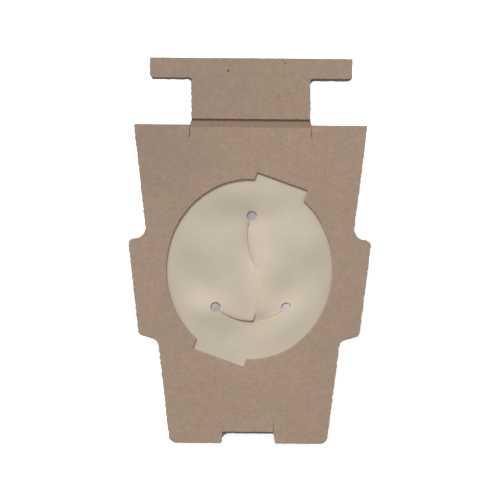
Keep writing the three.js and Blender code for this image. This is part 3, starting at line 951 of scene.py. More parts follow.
def filled(loops: list[Array], inner: Array) -> Array:
    """Triangles over the region between the loops, through the inner points.

    Args:
        loops: The outline and its holes.
        inner: Points inside the region.

    Returns:
        Rows of three numbers of the points, loops first and inner points last, facing up.
    """
    points = np.concatenate([*loops, inner])
    edges, first = [], 0
    for loop in loops:
        numbers = np.arange(first, first + len(loop))
        edges.append(np.column_stack([numbers, np.roll(numbers, -1)]))
        first += len(loop)
    spots = [Vector(point) for point in points.tolist()]
    made = geometry.delaunay_2d_cdt(spots, np.concatenate(edges).tolist(), [], 0, 1e-6, False)
    corners = np.array([face for face in made[2] if len(face) == 3])
    corners = corners[corners.max(axis=1) < len(points)]
    a, b, c = (points[corners[:, k]] for k in range(3))
    area = (b[:, 0] - a[:, 0]) * (c[:, 1] - a[:, 1]) - (b[:, 1] - a[:, 1]) * (c[:, 0] - a[:, 0])
    corners = np.where(area[:, None] < 0, corners[:, ::-1], corners)
    return corners[inside((a + b + c) / 3, loops) & (np.abs(area) > 1e-9)]


@dataclass(frozen=True)
class Rim:
    """How a layer's cut edge is rounded, in rows from its rear to its front.

    Each row gives its share of the crush, its level as a share of the layer, and how far it counts as cut.
    Rows below the middle level are crushed by rear at most.
    """

    rear: float = 0.1
    middle_level: float = 0.3
    rows: tuple[Triple, ...] = (
        (1.0, 0.0, 0.0),
        (0.3, 0.04, 0.6),
        (0.0, 0.16, 1.0),
        (0.0, 0.45, 1.0),
        (0.03, 0.66, 1.0),
        (0.12, 0.82, 0.75),
        (0.3, 0.92, 0.45),
        (0.6, 0.98, 0.2),
        (1.0, 1.0, 0.0),
    )


@dataclass
class Sheet:
    """A flat layer of material between two levels, with rounded cut edges and both faces filled."""

    loops: list[Array]
    crush: list[Array]
    low: float
    high: float
    spacing: float
    rim: Rim = field(default_factory=Rim)
    rings: list[Array] = field(default_factory=list)
    clearance: float = 0.55

    def build(self) -> tuple[Array, list[Array], Array]:
        """Builds the layer.

        A loop's rows stand one above another, each moved into the material by its share of the crush. The
        first and last rows bound the two faces, which are filled with triangles, through the rings as well.

        Returns:
            The points, the quads and triangles, and each point's cut value.
        """
        points, cuts, walls = [], [], []
        last = len(self.rim.rows) - 1
        rims = {0: [], last: []}
        numbers = {row: [] for row in rims}
        count = 0
        for loop, crush in zip(self.loops, self.crush):
            for row, (share, level, cut) in enumerate(self.rim.rows):
                depth = crush if level > self.rim.middle_level else np.minimum(crush, self.rim.rear)
                line = inset(loop, depth * share)
                height = self.low + (self.high - self.low) * level
                points.append(np.column_stack([line, np.full(len(line), height)]))
                cuts.append(np.full(len(line), cut))
                if row in rims:
                    rims[row].append(line)
                    numbers[row].append(count + row * len(loop) + np.arange(len(loop)))
            step = np.arange(len(loop))
            lower = count + np.arange(last)[:, None] * len(loop) + step
            after = count + np.arange(last)[:, None] * len(loop) + np.roll(step, -1)
            wall = np.stack([lower, after, after + len(loop), lower + len(loop)], axis=2)
            walls.append(wall.reshape(-1, 4))
            count += len(self.rim.rows) * len(loop)
        caps = []
        for row, lines in rims.items():
            corners = np.concatenate(lines)
            grid = lattice(corners.min(axis=0), corners.max(axis=0), self.spacing)
            grid = grid[inside(grid, lines)]
            gaps = nearest(grid, np.concatenate([*lines, *self.rings]))
            grid = np.concatenate([grid[gaps > self.spacing * self.clearance], *self.rings])
            level = self.low if row == 0 else self.high
            points.append(np.column_stack([grid, np.full(len(grid), level)]))
            cuts.append(np.zeros(len(grid)))
            index = np.concatenate([*numbers[row], count + np.arange(len(grid))])
            faces = index[filled(lines, grid)]
            caps.append(faces[:, ::-1] if row == 0 else faces)
            count += len(grid)
        return np.concatenate(points), [np.concatenate(walls), *caps], np.concatenate(cuts)


def linked(name: str, data: bpy.types.ID) -> bpy.types.Object:
    """Puts an object with that data into the scene, at the origin.

    Args:
        name: The object's name.
        data: Its mesh, camera or light.

    Returns:
        The object.
    """
    made = bpy.data.objects.new(name, data)
    bpy.context.scene.collection.objects.link(made)
    return made


def make_piece(
    name: str, points: Array, faces: list[Array], smooth: list[bool]
) -> bpy.types.Object:
    """Puts a mesh into the scene, with its object at the origin.

    Args:
        name: The piece's name.
        points: Its vertices in millimetres.
        faces: Arrays of faces, each of one number of corners.
        smooth: Whether each array's faces are shaded smooth.

    Returns:
        The object.
    """
    mesh = bpy.data.meshes.new(name)
    mesh.vertices.add(len(points))
    mesh.vertices.foreach_set("co", (points * MM).astype(np.float32).ravel())
    corners = np.concatenate([block.ravel() for block in faces]).astype(np.int32)
    sizes = np.concatenate([np.full(len(block), block.shape[1]) for block in faces])
    mesh.loops.add(len(corners))
    mesh.loops.foreach_set("vertex_index", corners)
    mesh.polygons.add(len(sizes))
    mesh.polygons.foreach_set("loop_start", np.concatenate([[0], np.cumsum(sizes)[:-1]]).astype(np.int32))
    flags = np.concatenate([np.full(len(block), flag) for block, flag in zip(faces, smooth)])
    mesh.polygons.foreach_set("use_smooth", flags)
    mesh.update(calc_edges=True)
    return linked(name, mesh)


def store(piece: bpy.types.Object, name: str, values: Array) -> None:
    """Keeps one number for each vertex as a mesh attribute."""
    attribute = piece.data.attributes.new(name, "FLOAT", "POINT")
    attribute.data.foreach_set("value", values.astype(np.float32))


def settle(piece: bpy.types.Object, material: bpy.types.Material, node: str) -> None:
    """Gives a piece its material, and puts it in place of its node.

    Args:
        piece: The piece.
        material: Its material.
        node: The CAD node that it replaces.
    """
    piece.data.materials.append(material)
    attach(piece, BODY)
    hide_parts(node)
    LOG.info("%s: %d vertices, %d faces", piece.name, len(piece.data.vertices), len(piece.data.polygons))


def node_box(node: str) -> tuple[Array, Array]:
    """A CAD node's lowest and highest corner, in millimetres."""
    low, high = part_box(node)
    return np.array(low) / MM, np.array(high) / MM


# The mouth

@dataclass(frozen=True)
class Mouth:
    """The collar's mouth: an oval crossed by a turned keyway. Its edge lies a drop below its middle."""

    width: float = 82.6
    length: float = 89.8
    keyway_width: float = 26.6
    keyway_length: float = 93.6
    keyway_turn: float = 19.5
    keyway_shift: float = 0.45
    drop: float = 0.35
    samples: int = 24000

    @property
    def centre(self) -> Array:
        """The middle of the mouth, which is the middle of the seal held behind it."""
        low, high = node_box(SoftPiece.SEAL.value)
        return (low[:2] + high[:2]) / 2

    @property
    def radii(self) -> Array:
        """Half the oval's width and half its length."""
        return np.array([self.width, self.length]) / 2

    def loop(self, spacing: float) -> Array:
        """The mouth's edge: at each angle the further of the oval's radius and the keyway's.

        The keyway's radius is the nearer of its two side lines, which differ by its shift, and its ends.

        Args:
            spacing: About how far apart the points lie.

        Returns:
            The edge's points, anticlockwise.
        """
        headings = ways_round(self.samples)
        oval = 1 / np.hypot(*(headings / self.radii).T)
        turn = math.radians(self.keyway_turn)
        across = headings @ np.array([math.cos(turn), -math.sin(turn)])
        along = headings @ np.array([math.sin(turn), math.cos(turn)])
        half = self.keyway_width / 2 + self.keyway_shift * np.sign(across)
        to_side = half / np.maximum(np.abs(across), TINY)
        to_end = self.keyway_length / 2 / np.maximum(np.abs(along), TINY)
        edge = headings * np.maximum(oval, np.minimum(to_side, to_end))[:, None]
        return respaced(self.centre + edge - (0.0, self.drop), spacing)


# The collar

@dataclass
class Collar:
    """The collar's three pieces of board. One die cuts both layers, so their edges are ragged alike."""

    mouth: Mouth
    finish: BoardFinish = field(default_factory=BoardFinish)
    shoulder_width: float = 116.7
    foot_width: float = 77.9
    shoulder_radius: float = 0.7
    foot_radius: float = 3.6
    ear_reach: float = 9.4
    ear_drop: float = 56.8
    ear_length: float = 51.2
    ear_top_slope: float = 0.8
    ear_bottom_slope: float = 2.8
    ear_tip_radius: float = 2.8
    ear_top_root_radius: float = 5.4
    ear_bottom_root_radius: float = 4.2
    notch_mouth_width: float = 26.6
    notch_top_width: float = 25.2
    notch_depth: float = 5.45
    notch_lip_radius: float = 0.8
    nick_length: float = 4.1
    nick_width: float = 0.2
    stem_width: float = 59.4
    bar_depth: float = 10.3
    bar_root_radius: float = 1.1
    bar_tip_radius: float = 1.9
    bar_corner_radius: float = 0.5
    hinge_cut_spacing: float = 61.0
    hinge_cut_length: float = 6.4
    hinge_cut_width: float = 0.3
    rear_cut_width: float = 0.04
    band_drop: float = 1.35
    hinge_flare: float = 2.4
    back_bar_drop_left: float = 0.55
    back_bar_drop_right: float = 0.95
    back_root_radius: float = 2.2
    back_tip_radius: float = 2.6
    back_notch_drop: float = 0.6
    back_notch_radius: float = 3.6
    pocket_margin: float = 0.3
    pocket_depth: float = 0.5
    pocket_step: float = 0.05
    pocket_points: int = 300
    spacing: float = 0.36
    face_spacing: float = 5.0
    edge_crush: float = 0.15
    lower_crush: float = 0.4
    mouth_top_crush: float = 0.3
    mouth_foot_crush: float = 2.2
    mouth_crush_power: float = 1.5
    crush_window: int = 9
    corner_span: int = 3
    corner_angle: float = 0.6
    corner_calm: float = 0.5
    corner_reach: float = 4.5
    cut_crush: float = 0.03
    cut_reach: float = 1.4
    fray: float = 0.1
    fray_length: float = 3.4
    fray_seed: int = 11
    fuzz: float = 0.04
    fuzz_length: float = 0.8
    fuzz_depth_rate: float = 2.5
    fuzz_seed: int = 21
    mouth_fray: float = 0.3
    mouth_fray_end: float = 1.12
    mouth_fray_ramp: float = 0.1
    fray_ways: Pair = (1.0, 0.45)
    hinge_calm: float = 0.85
    hinge_reach: float = 1.8

    def __post_init__(self) -> None:
        """Reads the levels that the frame gives."""
        front_low, front_high = node_box(Layer.FRONT.value)
        facing_low, facing_high = node_box(Layer.FACING.value)
        self.foot_y, self.shoulder_y = front_low[1], front_high[1]
        self.joint_z, self.face_z = front_low[2], front_high[2]
        self.back_z = node_box(Layer.BACK.value)[0][2]
        self.band_low, self.band_high = self.shoulder_y - self.band_drop, facing_low[1]
        self.tab_top, self.bar_half = facing_high[1], facing_high[0]

    def half_width(self, y: float | Array) -> float | Array:
        """Half of the body's width at a level along Y, without its ears: it tapers evenly to the foot."""
        share = (y - self.foot_y) / (self.shoulder_y - self.foot_y)
        return (self.foot_width + (self.shoulder_width - self.foot_width) * share) / 2

    def side(self) -> list[Corner]:
        """The body's right side.

        Returns:
            Its corners from the foot notch up to the shoulder.
        """
        ear_top = self.shoulder_y - self.ear_drop
        ear_bottom = ear_top - self.ear_length
        tip_top, tip_bottom = ear_top - self.ear_top_slope, ear_bottom + self.ear_bottom_slope
        return [
            (self.notch_mouth_width / 2, self.foot_y, self.notch_lip_radius),
            (self.half_width(self.foot_y), self.foot_y, self.foot_radius),
            (self.half_width(ear_bottom), ear_bottom, self.ear_bottom_root_radius),
            (self.half_width(tip_bottom) + self.ear_reach, tip_bottom, self.ear_tip_radius),
            (self.half_width(tip_top) + self.ear_reach, tip_top, self.ear_tip_radius),
            (self.half_width(ear_top), ear_top, self.ear_top_root_radius),
            (self.half_width(self.shoulder_y), self.shoulder_y, self.shoulder_radius),
        ]

    def notch(self, layer: Layer) -> list[Corner]:
        """The foot notch's upper edge.

        Args:
            layer: The layer. The back one reaches lower and is rounded on the left.

        Returns:
            Its corners from the left, with the nick above its right end.
        """
        y, right = self.foot_y + self.notch_depth, self.notch_top_width / 2
        nick = right - (self.rear_cut_width if layer is Layer.BACK else self.nick_width)
        top = y + self.nick_length
        left = (-right, y, 0.0)
        if layer is Layer.BACK:
            y -= self.back_notch_drop
            left = (-right, y, self.back_notch_radius)
        return [left, (nick, y, 0.0), (nick, top, 0.0), (right, top, 0.0), (right, y, 0.0)]

    def hinge_cut(self, inner_top: float, width: float) -> list[Corner]:
        """The right hinge cut.

        Args:
            inner_top: The level that its inner side ends at.
            width: Its width.

        Returns:
            Its corners from the shoulder down and up again to that level.
        """
        outer = (self.hinge_cut_spacing + width) / 2
        inner, end = outer - width, self.shoulder_y - self.hinge_cut_length
        return [(outer, self.shoulder_y, 0.0), (outer, end, 0.0), (inner, end, 0.0), (inner, inner_top, 0.0)]

    def tab(self, start: float, layer: Layer, drop: float = 0.0) -> list[Corner]:
        """The pull tab's right side.

        Args:
            start: The level on its stem that it starts from.
            layer: The layer, which sets how the crossbar is rounded.
            drop: How much lower than usual the crossbar's lower edge lies.

        Returns:
            Its corners from there up to the top.
        """
        bar_low = self.tab_top - self.bar_depth - drop
        root, tip = self.bar_root_radius, self.bar_tip_radius
        if layer is Layer.BACK:
            root, tip = self.back_root_radius, self.back_tip_radius
        return [
            (self.stem_width / 2, start, 0.0),
            (self.stem_width / 2, bar_low, root),
            (self.bar_half, bar_low, tip),
            (self.bar_half, self.tab_top, self.bar_corner_radius),
        ]

    def outline(self, layer: Layer) -> Array:
        """A layer's outer edge: corners up its right side and their mirror image down its left.

        The back layer reaches a little lower than the others at the notch and under the crossbar, where
        its two sides differ.

        Args:
            layer: The layer.

        Returns:
            The edge's points, anticlockwise.
        """
        foot = [] if layer is Layer.FACING else self.notch(layer)
        if layer is Layer.FACING:
            right = mirrored = self.tab(self.band_high, layer)
        elif layer is Layer.FRONT:
            right = mirrored = [*self.side(), *self.hinge_cut(self.band_low, self.hinge_cut_width)]
        else:
            flare = self.shoulder_y + self.hinge_flare
            below = [*self.side(), *self.hinge_cut(self.shoulder_y, self.rear_cut_width)]
            right = [*below, *self.tab(flare, layer, self.back_bar_drop_right)]
            mirrored = [*below, *self.tab(flare, layer, self.back_bar_drop_left)]
        left = [(-x, y, radius) for x, y, radius in reversed(mirrored)]
        return rounded_loop([*foot, *right, *left], self.spacing)

    def beside_cuts(self, loop: Array) -> Array:
        """Calms the edge beside the knife cuts at the hinge and the nick, where a blade crushes nothing.

        Args:
            loop: The edge.

        Returns:
            0 at the cuts and 1 away from them.
        """
        nick_y = self.foot_y + self.notch_depth + self.nick_length / 2
        hinge_y = self.shoulder_y - self.hinge_cut_length / 2
        cuts = np.array([
            (self.hinge_cut_spacing / 2, hinge_y, self.hinge_cut_length / 2),
            (-self.hinge_cut_spacing / 2, hinge_y, self.hinge_cut_length / 2),
            (self.notch_top_width / 2, nick_y, self.nick_length / 2),
        ])
        across = np.abs(loop[:, 0, None] - cuts[:, 0])
        along = np.maximum(np.abs(loop[:, 1, None] - cuts[:, 1]) - cuts[:, 2], 0)
        return np.clip(np.hypot(across, along).min(axis=1) / self.cut_reach, 0, 1)

    def crushed(self, loop: Array, around_mouth: bool) -> Array:
        """How far the die has rounded the edge over, by the way that the edge faces.

        An outer edge that faces the foot is crushed most. In the mouth it is the edge at its foot, which
        faces the tab. The values are averaged over a few neighbours, so that they change gradually.

        Args:
            loop: The edge.
            around_mouth: Whether it is the mouth's.

        Returns:
            The crush at each point.
        """
        ahead = unit(np.roll(loop, -1, axis=0) - np.roll(loop, 1, axis=0))
        faces_foot = ahead[:, 0]
        if around_mouth:
            share = ((1 - faces_foot) / 2 * self.beside_corners(loop)) ** self.mouth_crush_power
            least, most = self.mouth_top_crush, self.mouth_foot_crush
        else:
            share = np.clip(faces_foot, 0, 1)
            least, most = self.edge_crush, self.lower_crush
        depth = least + (most - least) * share
        beyond = self.crush_window // 2
        padded = np.concatenate([depth[-beyond:], depth, depth[:beyond]])
        depth = np.convolve(padded, np.ones(self.crush_window) / self.crush_window, "valid")
        return self.cut_crush + (depth - self.cut_crush) * self.beside_cuts(loop)

    def beside_corners(self, loop: Array) -> Array:
        """Calms the edge at the mouth's sharp corners, where a wide rounding would cross itself.

        Args:
            loop: The mouth's edge.

        Returns:
            0 at the corners and 1 away from them.
        """
        back = unit(loop - np.roll(loop, self.corner_span, axis=0))
        onward = unit(np.roll(loop, -self.corner_span, axis=0) - loop)
        corners = loop[(back * onward).sum(axis=1) < math.cos(self.corner_angle)]
        return smooth_share(nearest(loop, corners), self.corner_calm, self.corner_reach)

    def frayed(self, points: Array) -> Array:
        """Shifts points sideways by smooth noise, so that cut edges wander and are fibrous all through.

        Args:
            points: The layer's points.

        Returns:
            The shifted points. They move less at the mouth and beside the hinge band.
        """
        shifted = points.copy()
        share = oval_share(points, self.mouth.centre, self.mouth.radii)
        outside = np.clip((share - self.mouth_fray_end) / self.mouth_fray_ramp, 0, 1)
        strength = self.mouth_fray + (1 - self.mouth_fray) * outside
        from_hinge = (points[:, 1] - (self.band_low + self.band_high) / 2) / self.hinge_reach
        strength = strength * (1 - self.hinge_calm * np.exp(-from_hinge ** 2))
        deep = points * (1, 1, self.fuzz_depth_rate)
        for axis in (0, 1):
            wander = self.fray * plane_waves(points[:, :2], self.fray_length, self.fray_seed + axis)
            fibres = self.fuzz * plane_waves(deep, self.fuzz_length, self.fuzz_seed + axis)
            shifted[:, axis] += strength * self.fray_ways[axis] * (wander + fibres)
        return shifted

    def build(self) -> None:
        """Builds and dresses the three pieces."""
        levels = {
            Layer.FRONT: (self.joint_z, self.face_z),
            Layer.FACING: (self.joint_z, self.face_z),
            Layer.BACK: (self.back_z, self.joint_z),
        }
        for layer, (low, high) in levels.items():
            loops = [self.outline(layer)]
            if layer is not Layer.FACING:
                loops.append(self.mouth.loop(self.spacing)[::-1])
            crush = [self.crushed(loop, number > 0) for number, loop in enumerate(loops)]
            rings = self.pocket_rings() if layer is Layer.BACK else []
            points, faces, cut = Sheet(loops, crush, low, high, self.face_spacing, rings=rings).build()
            if layer is Layer.BACK:
                points = self.pressed(points)
            piece = make_piece(layer.value + "_piece", self.frayed(points), faces, [True, False, False])
            store(piece, CUT, cut)
            band = (self.band_low, self.band_high, self.joint_z)
            settle(piece, self.finish.material(layer, band), layer.value)

    def pocket_rings(self) -> list[Array]:
        """Points just inside and outside the pocket's edge, so that its step is narrow and even."""
        shifts = (-self.pocket_step, self.pocket_step)
        headings = ways_round(self.pocket_points)
        return [self.mouth.centre + (self.pocket_radii() + shift) * headings for shift in shifts]

    def pocket_radii(self) -> Array:
        """The pocket's half width and half length: the seal's, and a margin."""
        seal_low, seal_high = node_box(SoftPiece.SEAL.value)
        return (seal_high[:2] - seal_low[:2]) / 2 + self.pocket_margin

    def pressed(self, points: Array) -> Array:
        """Lowers the back board's upper side to the pocket's floor, wherever the seal's rim lies on it.

        Args:
            points: The back board's points.

        Returns:
            The lowered points.
        """
        share = oval_share(points, self.mouth.centre, self.pocket_radii())
        lowered = points.copy()
        floor = np.minimum(points[:, 2], self.joint_z - self.pocket_depth)
        lowered[:, 2] = np.where(share < 1, floor, points[:, 2])
        return lowered


# The seal

@dataclass(frozen=True)
class Fold(Patch):
    """One soft ridge or hollow of the seal, with its middle counted from the mouth's, and its height."""

    height: float


@dataclass
class Seal:
    """The mouth's seal: a rippled rubber sheet whose punched holes are joined by a middle and a curved cut.

    Places and levels are counted from the middle of the mouth. A pair of levels is where a change along Y
    starts and where it is complete.
    """

    mouth: Mouth
    finish: RubberFinish = field(default_factory=RubberFinish)
    thickness: float = 0.5
    punch_radius: float = 2.55
    top_punch: Pair = (0.9, 26.4)
    middle_path: tuple[Pair, ...] = (
        (0.6, 26.4), (-0.55, 22.0), (-1.05, 18.5), (-1.05, 14.5), (-0.65, 11.2), (0.25, 7.3), (1.6, 3.3),
        (2.9, -0.5), (3.4, -6.0), (3.68, -12.0), (3.7, -18.0), (3.2, -21.8), (1.9, -26.5),
    )
    path_steps: int = 24
    left_punch: Pair = (-16.8, -19.5)
    right_punch: Pair = (18.4, -19.5)
    curve_sag: float = 6.75
    curve_points: int = 200
    cut_top_width: float = 0.15
    cut_low_width: float = 0.015
    cut_widening: Pair = (-1.0, 10.0)
    curve_width: float = 0.06
    flap_levels: Pair = (4.0, 12.0)
    flap_power: float = 0.7
    left_lift: float = 0.42
    left_reach: float = 5.0
    left_start: float = 1.0
    under_drop: float = 0.4
    under_reach: float = 5.0
    under_span: float = 15.0
    right_dip: float = 0.72
    right_reach: float = 3.0
    right_end: float = 1.5
    right_power: float = 1.3
    valley_depth: float = 0.42
    left_valley: float = 1.5
    right_valley: float = 1.0
    open_levels: Pair = (0.0, 9.0)
    open_end: Pair = (21.0, 26.0)
    closed_levels: Pair = (0.0, 4.0)
    closed_end: Pair = (17.0, 21.0)
    crease_depth: float = 2.9
    crease_y: float = 10.0
    crease_reach: float = 17.0
    crease_left: float = 20.0
    crease_right: float = 6.0
    edge_spacing: float = 0.24
    edge_crush: float = 0.09
    closed_crush: float = 0.006
    closed_beside: float = 0.3
    closed_crush_levels: Pair = (-4.0, 2.0)
    closed_above_tip: float = 4.0
    lit_crush: float = 0.3
    lit_levels: Pair = (0.5, 4.0)
    right_edge_lift: float = 0.16
    right_edge_reach: float = 0.8
    edge_rows: tuple[Triple, ...] = (
        (1.0, 0.0, 0.0), (0.3, 0.06, 0.5), (0.0, 0.2, 1.0),
        (0.0, 0.8, 1.0), (0.3, 0.94, 0.6), (1.0, 1.0, 0.0),
    )
    sharp_angle: float = 20.0
    rim_points: int = 720
    rim_spacing: float = 0.9
    face_spacing: float = 0.95
    # Painted shade along the mouth's edge, and along the curved cut's left part where the raised flap shades
    # the sheet.
    rim_shade_reach: float = 0.8
    rim_shade_spacing: float = 0.5
    rim_shade_rings: tuple[float, ...] = (0.02, 0.45, 0.95, 1.6)
    rim_shade_levels: Pair = (-42.0, -15.0)
    curve_shade: float = 1.0
    curve_shade_reach: float = 0.35
    curve_shade_past: float = 0.5
    cloth_gap: float = 0.08
    cloth_open_end: Pair = (19.0, 24.0)
    cloth_low_levels: Pair = (3.0, 9.0)
    hang_beside_tip: Pair = (4.0, 2.0)
    hang_spread: Pair = (11.0, 6.0)
    top_lean: float = 0.14
    left_lean: float = 0.2
    lean_reach: float = 5.0
    lean_way: Pair = (0.5, -1.0)
    folds: tuple[Fold, ...] = (
        Fold(-5, 27, 22, 9, 0, -1.7),
        Fold(-28, -7, 17, 10, -45, -2.1),
        Fold(-14, 9, 15, 9, 0, 0.8),
        Fold(29, 13, 12, 12, 0, 1.6),
        Fold(20, -13, 8, 9, 0, -1.1),
        Fold(22, -27, 22, 9, 45, 1.2),
        Fold(-22, -21, 13, 6.5, -14, 1.2),
        Fold(8, 0, 9, 9, 0, 1.0),
        Fold(-8, -33, 12, 8, 0, -0.7),
    )

    def __post_init__(self) -> None:
        """Works out where the holes and cuts lie in the frame."""
        punches = (self.top_punch, self.left_punch, self.right_punch)
        self.top, self.left, self.right = (self.mouth.centre + np.array(punch) for punch in punches)
        half = (self.right[0] - self.left[0]) / 2
        self.curve_radius = (half ** 2 + self.curve_sag ** 2) / 2 / self.curve_sag
        low = self.left[1] - self.curve_sag
        self.curve_centre = np.array([(self.left[0] + self.right[0]) / 2, low + self.curve_radius])
        self.middle = self.mouth.centre + smooth_path(np.array(self.middle_path), self.path_steps)
        self.tip = np.array([self.middle[-1, 0], low])

    def beside_middle(self, points: Array) -> Array:
        """How far each point lies to the right of the middle cut."""
        return points[:, 0] - np.interp(points[:, 1], self.middle[::-1, 1], self.middle[::-1, 0])

    def above_curve(self, points: Array) -> Array:
        """How far each point lies above the curved cut."""
        return self.curve_radius - distance_from(points, self.curve_centre)

    def hole(self, centre: Array, start: Array, end: Array) -> Array:
        """The way round a punched hole anticlockwise.

        Args:
            centre: The hole's middle.
            start, end: The points of the two sides of a cut that it lies between.

        Returns:
            Its points.
        """
        first, last = (math.atan2(*(point - centre)[::-1]) for point in (start, end))
        begin = centre + self.punch_radius * np.array([math.cos(first), math.sin(first)])
        return bend(begin, centre, (last - first) % (2 * np.pi), self.edge_spacing)

    def middle_sides(self) -> list[Array]:
        """The left and right side of the middle cut, which widens towards the top.

        Returns:
            Both sides from the top hole down to the curved cut.
        """
        ahead = unit(np.gradient(self.middle, axis=0))
        west = np.column_stack([ahead[:, 1], -ahead[:, 0]])
        share = smooth_share(self.middle[:, 1] - self.mouth.centre[1], *self.cut_widening)[:, None]
        width = (self.cut_low_width + (self.cut_top_width - self.cut_low_width) * share) / 2
        sides = []
        for way in (1, -1):
            line = self.middle + way * west * width
            clear = distance_from(line, self.top) > self.punch_radius
            within = distance_from(line, self.curve_centre) < self.curve_radius - self.curve_width / 2
            sides.append(line[clear & within])
        return sides

    def curve_sides(self) -> list[Array]:
        """The upper and lower side of the curved cut.

        Returns:
            Both sides from the left hole to the right one.
        """
        sweep = math.asin((self.right[0] - self.left[0]) / 2 / self.curve_radius)
        headings = ways(np.linspace(-np.pi / 2 - sweep, -np.pi / 2 + sweep, self.curve_points))
        sides = []
        for way in (-1, 1):
            line = self.curve_centre + (self.curve_radius + way * self.curve_width / 2) * headings
            from_holes = np.minimum(distance_from(line, self.left), distance_from(line, self.right))
            sides.append(line[from_holes > self.punch_radius])
        return sides

    def opening(self) -> Array:
        """The edge of all that is cut out: three holes and the narrow cuts that join them.

        Returns:
            Its points, anticlockwise.
        """
        west_side, east_side = self.middle_sides()
        upper, lower = self.curve_sides()
        upper_left = upper[upper[:, 0] < west_side[-1, 0]][::-1]
        upper_right = upper[upper[:, 0] > east_side[-1, 0]][::-1]
        around = [
            self.hole(self.top, east_side[0], west_side[0]),
            west_side,
            upper_left,
            self.hole(self.left, upper_left[-1], lower[0]),
            lower,
            self.hole(self.right, lower[-1], upper_right[0]),
            upper_right,
            east_side[::-1],
        ]
        return np.concatenate(around)

    def folds_height(self, points: Array) -> Array:
        """How far the soft folds stand above the seal's rim.

        A fold is height * exp(-(u / along)^2 - (v / across)^2), with u and v turned to its own way. The
        crease is a V along the middle cut: depth * exp(-|distance| / width), wider on its left side. All die
        away towards the mouth's edge by 1 - share^4.

        Args:
            points: The points.

        Returns:
            The height at each point.
        """
        offset = points[:, :2] - self.mouth.centre
        share = oval_share(points, self.mouth.centre, self.mouth.radii)
        folds = np.array([(f.x, f.y, f.along, f.across, math.radians(f.turn), f.height) for f in self.folds])
        x, y = offset[:, 0, None] - folds[:, 0], offset[:, 1, None] - folds[:, 1]
        u = x * np.cos(folds[:, 4]) + y * np.sin(folds[:, 4])
        v = y * np.cos(folds[:, 4]) - x * np.sin(folds[:, 4])
        rise = (folds[:, 5] * np.exp(-(u / folds[:, 2]) ** 2 - (v / folds[:, 3]) ** 2)).sum(axis=1)
        beside = self.beside_middle(points)
        width = np.where(beside < 0, self.crease_left, self.crease_right)
        along_cut = np.exp(-((offset[:, 1] - self.crease_y) / self.crease_reach) ** 2)
        crease = self.crease_depth * np.exp(-np.abs(beside) / width) * along_cut
        return (rise - crease) * np.clip(1 - share ** 4, 0, 1)

    def dip(self, points: Array) -> Array:
        """How far the right flap's corner hangs down: most at the tip, and less towards the right hole.

        Args:
            points: The points.

        Returns:
            The depth at each point.
        """
        end = self.right[0] - self.right_end
        along = np.clip((end - points[:, 0]) / (end - self.tip[0]), 0, 1) ** self.right_power
        return self.right_dip * along * np.exp(-(self.above_curve(points) / self.right_reach) ** 2)

    def height(self, points: Array) -> Array:
        """How far the sheet stands above its rim: its folds, its flaps and the valley along the middle cut.

        The left flap's corner rises and the right one's hangs down, each by exp(-(d / reach)^2) at a
        distance d from the curved cut. Both edges of the upper middle cut turn down into a narrow valley.

        Args:
            points: The sheet's points.

        Returns:
            The height at each point.
        """
        up = points[:, 1] - self.mouth.centre[1]
        above = self.above_curve(points)
        low_part = smooth_share(-up, *self.flap_levels)
        beside = self.beside_middle(points)
        start = self.left[0] + self.left_start
        along = np.clip((points[:, 0] - start) / (self.tip[0] - start), 0, 1) ** self.flap_power
        lift = self.left_lift * along * np.exp(-(above / self.left_reach) ** 2)
        flaps = np.where(beside < 0, lift, -self.dip(points)) * low_part * (above > 0)
        across = np.clip(1 - np.abs(points[:, 0] - self.tip[0]) / self.under_span, 0, 1) ** self.flap_power
        drop = self.under_drop * across * np.exp(-(above / self.under_reach) ** 2)
        flaps = flaps - drop * (above <= 0) * low_part
        open_part = smooth_share(up, *self.open_levels) * (1 - smooth_share(up, *self.open_end))
        width = np.where(beside < 0, self.left_valley, self.right_valley)
        valley = self.valley_depth * np.exp(-(beside / width) ** 2) * open_part
        closed_part = smooth_share(-up, *self.closed_levels) * (1 - smooth_share(-up, *self.closed_end))
        lip = self.right_edge_lift * np.exp(-np.abs(beside) / self.right_edge_reach) * (beside > 0)
        return self.folds_height(points) + flaps + lip * closed_part - valley

    def under_cloth(self, points: Array) -> Array:
        """The level just below the seal that the pouch's top reaches inside the mouth.

        It hangs lower along the middle cut, under the right flap's corner, and leans away from the light
        at the top and left holes.

        Args:
            points: The pouch's points.

        Returns:
            The level at each point.
        """
        up = points[:, 1] - self.mouth.centre[1]
        open_part = 1 - smooth_share(up, *self.cloth_open_end)
        width = 2 * self.left_valley
        valley = self.valley_depth * np.exp(-(self.beside_middle(points) / width) ** 2) * open_part
        low_part = smooth_share(-up, *self.cloth_low_levels)
        from_tip = (points[:, :2] - self.tip - self.hang_beside_tip) / self.hang_spread
        near_tip = np.exp(-(from_tip ** 2).sum(axis=1))
        hang = np.maximum(valley, self.right_dip * near_tip * low_part)
        for punch, lean in ((self.top, self.top_lean), (self.left, self.left_lean)):
            away = points[:, :2] - punch
            onward = away @ np.array(self.lean_way) / math.hypot(*self.lean_way) + self.punch_radius
            near = np.exp(-((away ** 2).sum(axis=1) / self.lean_reach ** 2) ** 2)
            hang = hang + lean * np.maximum(onward, 0) * near
        floor = node_box(Layer.FRONT.value)[0][2] - self.thickness - self.cloth_gap
        return floor + self.folds_height(points) - hang

